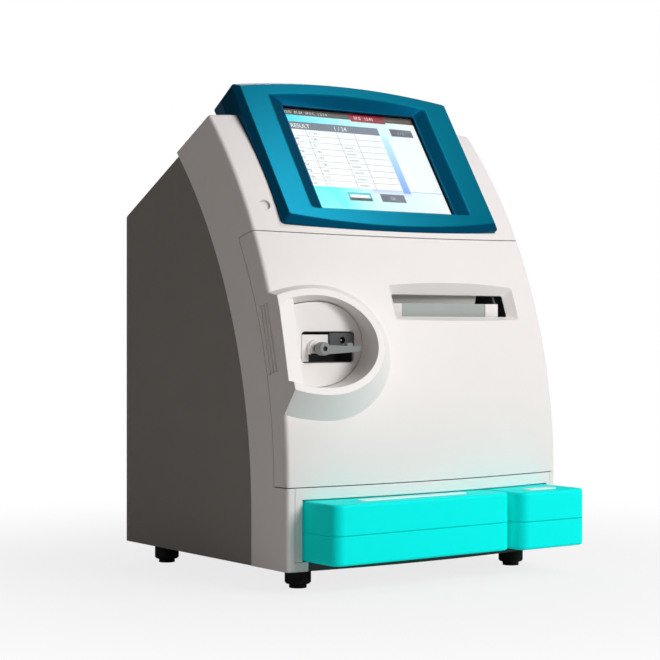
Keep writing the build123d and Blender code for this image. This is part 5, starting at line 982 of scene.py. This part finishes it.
@dataclass(frozen=True)
class Studio:
    """Floor, lights and camera.

    Fields:
        eye_mm: the camera's place.
        azimuth: the way it looks, in degrees from +Y towards +X.
        lens_mm: focal length.
        sensor_mm: width of its sensor.
        floor_reach: half the floor's width in metres.
        shadow_reach: distances at which the floor starts to fade and is plain white, in metres.
        shadow_white: share of plain white where the fade starts.
        lamps: a large key at the front right, a small one above, a faint warm one at the left and one behind.
    """

    eye_mm: tuple[float, float, float] = (-1088.0, -1453.85, 247.6)
    azimuth: float = 36.0
    lens_mm: float = 94.09
    sensor_mm: float = 36.0
    floor_reach: float = 6.0
    shadow_reach: tuple[float, float] = (0.15, 0.85)
    shadow_white: float = 0.8
    lamps: tuple[Lamp, ...] = (
        Lamp("key", (0.9, -2.48, 1.3), (0.0, 0.0, 0.25), 1.2, 53.0, (1.0, 0.99, 0.985)),
        Lamp("top", (0.92, -0.7, 1.86), (-0.12, -0.08, 0.37), 0.4, 6.5),
        Lamp("left fill", (-2.4, -0.2, 0.9), (0.0, 0.0, 0.25), 1.6, 2.1, (1.0, 0.82, 0.80)),
        Lamp("back rim", (1.0, 2.2, 1.2), (0.0, 0.0, 0.3), 1.2, 12.0),
    )

    def camera(self) -> None:
        """Put the camera where the photograph was taken from."""
        lens = bpy.data.cameras.new("camera")
        lens.lens = self.lens_mm
        lens.sensor_width = self.sensor_mm
        eye = bpy.data.objects.new("camera", lens)
        eye.location = [c * MM for c in self.eye_mm]
        eye.rotation_euler = (math.radians(90), 0.0, -math.radians(self.azimuth))
        link(eye)
        bpy.context.scene.camera = eye

    def floor(self) -> None:
        """Lay a pale floor that fades to white for the camera and still takes the shadow."""
        corners = self.floor_reach * np.array([[-1, -1, 0], [1, -1, 0], [1, 1, 0], [-1, 1, 0]])
        item = solid("floor", corners, np.array([[0, 1, 2, 3]]))
        material = blank_material("matt white floor")
        tree = material.node_tree
        paint = add_node(tree, "ShaderNodeBsdfDiffuse", {"Color": linear("#D8D8D7")})
        glow = add_node(tree, "ShaderNodeEmission", {"Color": WHITE_LIGHT + OPAQUE, "Strength": 1.0})
        seen = add_node(tree, "ShaderNodeLightPath")
        place = add_node(tree, "ShaderNodeTexCoord").outputs["Object"]
        away = add_node(tree, "ShaderNodeVectorMath", {"operation": "LENGTH"}, {0: place})
        start, full = self.shadow_reach
        fade = add_node(
            tree, "ShaderNodeMapRange",
            {
                "interpolation_type": "SMOOTHSTEP", "From Min": start, "From Max": full,
                "To Min": self.shadow_white, "To Max": 1.0,
            },
            {"Value": away.outputs["Value"]},
        )
        share = add_node(
            tree, "ShaderNodeMath", {"operation": "MULTIPLY"},
            {0: seen.outputs["Is Camera Ray"], 1: fade.outputs["Result"]},
        )
        mixed = add_node(
            tree, "ShaderNodeMixShader", None,
            {0: share.outputs["Value"], 1: paint.outputs["BSDF"], 2: glow.outputs["Emission"]},
        )
        add_node(tree, "ShaderNodeOutputMaterial", None, {"Surface": mixed.outputs["Shader"]})
        item.data.materials.append(material)

    def world(self) -> None:
        """Surround the scene with a warm grey sky that the camera sees as white."""
        world = bpy.data.worlds.new("studio")
        world.use_nodes = True
        tree = world.node_tree
        tree.nodes.clear()
        seen = add_node(tree, "ShaderNodeLightPath")
        sky = add_node(tree, "ShaderNodeBackground", {"Color": (1.0, 0.90, 0.87, 1.0), "Strength": 0.13})
        white = add_node(tree, "ShaderNodeBackground", {"Color": WHITE_LIGHT + OPAQUE, "Strength": 1.0})
        mixed = add_node(
            tree, "ShaderNodeMixShader", None,
            {0: seen.outputs["Is Camera Ray"], 1: sky.outputs["Background"], 2: white.outputs["Background"]},
        )
        add_node(tree, "ShaderNodeOutputWorld", None, {"Surface": mixed.outputs["Shader"]})
        bpy.context.scene.world = world

    def build(self) -> None:
        """Set up the floor, the sky, the lamps and the camera."""
        bpy.context.scene.view_settings.view_transform = "Standard"
        self.floor()
        self.world()
        for lamp in self.lamps:
            lamp.hang()
        self.camera()


def main() -> None:
    """Dress every node, add the new pieces and set up the studio."""
    logging.basicConfig(level=logging.INFO, format="%(name)s: %(message)s")
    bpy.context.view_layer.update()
    paintbox = Paintbox()
    parts = (
        Housing(), BackLabels(), Front(), SampleStation(), WetSide(), Printer(), ReagentBay(), Display(),
    )
    for part in parts:
        part.dress(paintbox)
    Studio().build()


if __name__ == "__main__":
    main()
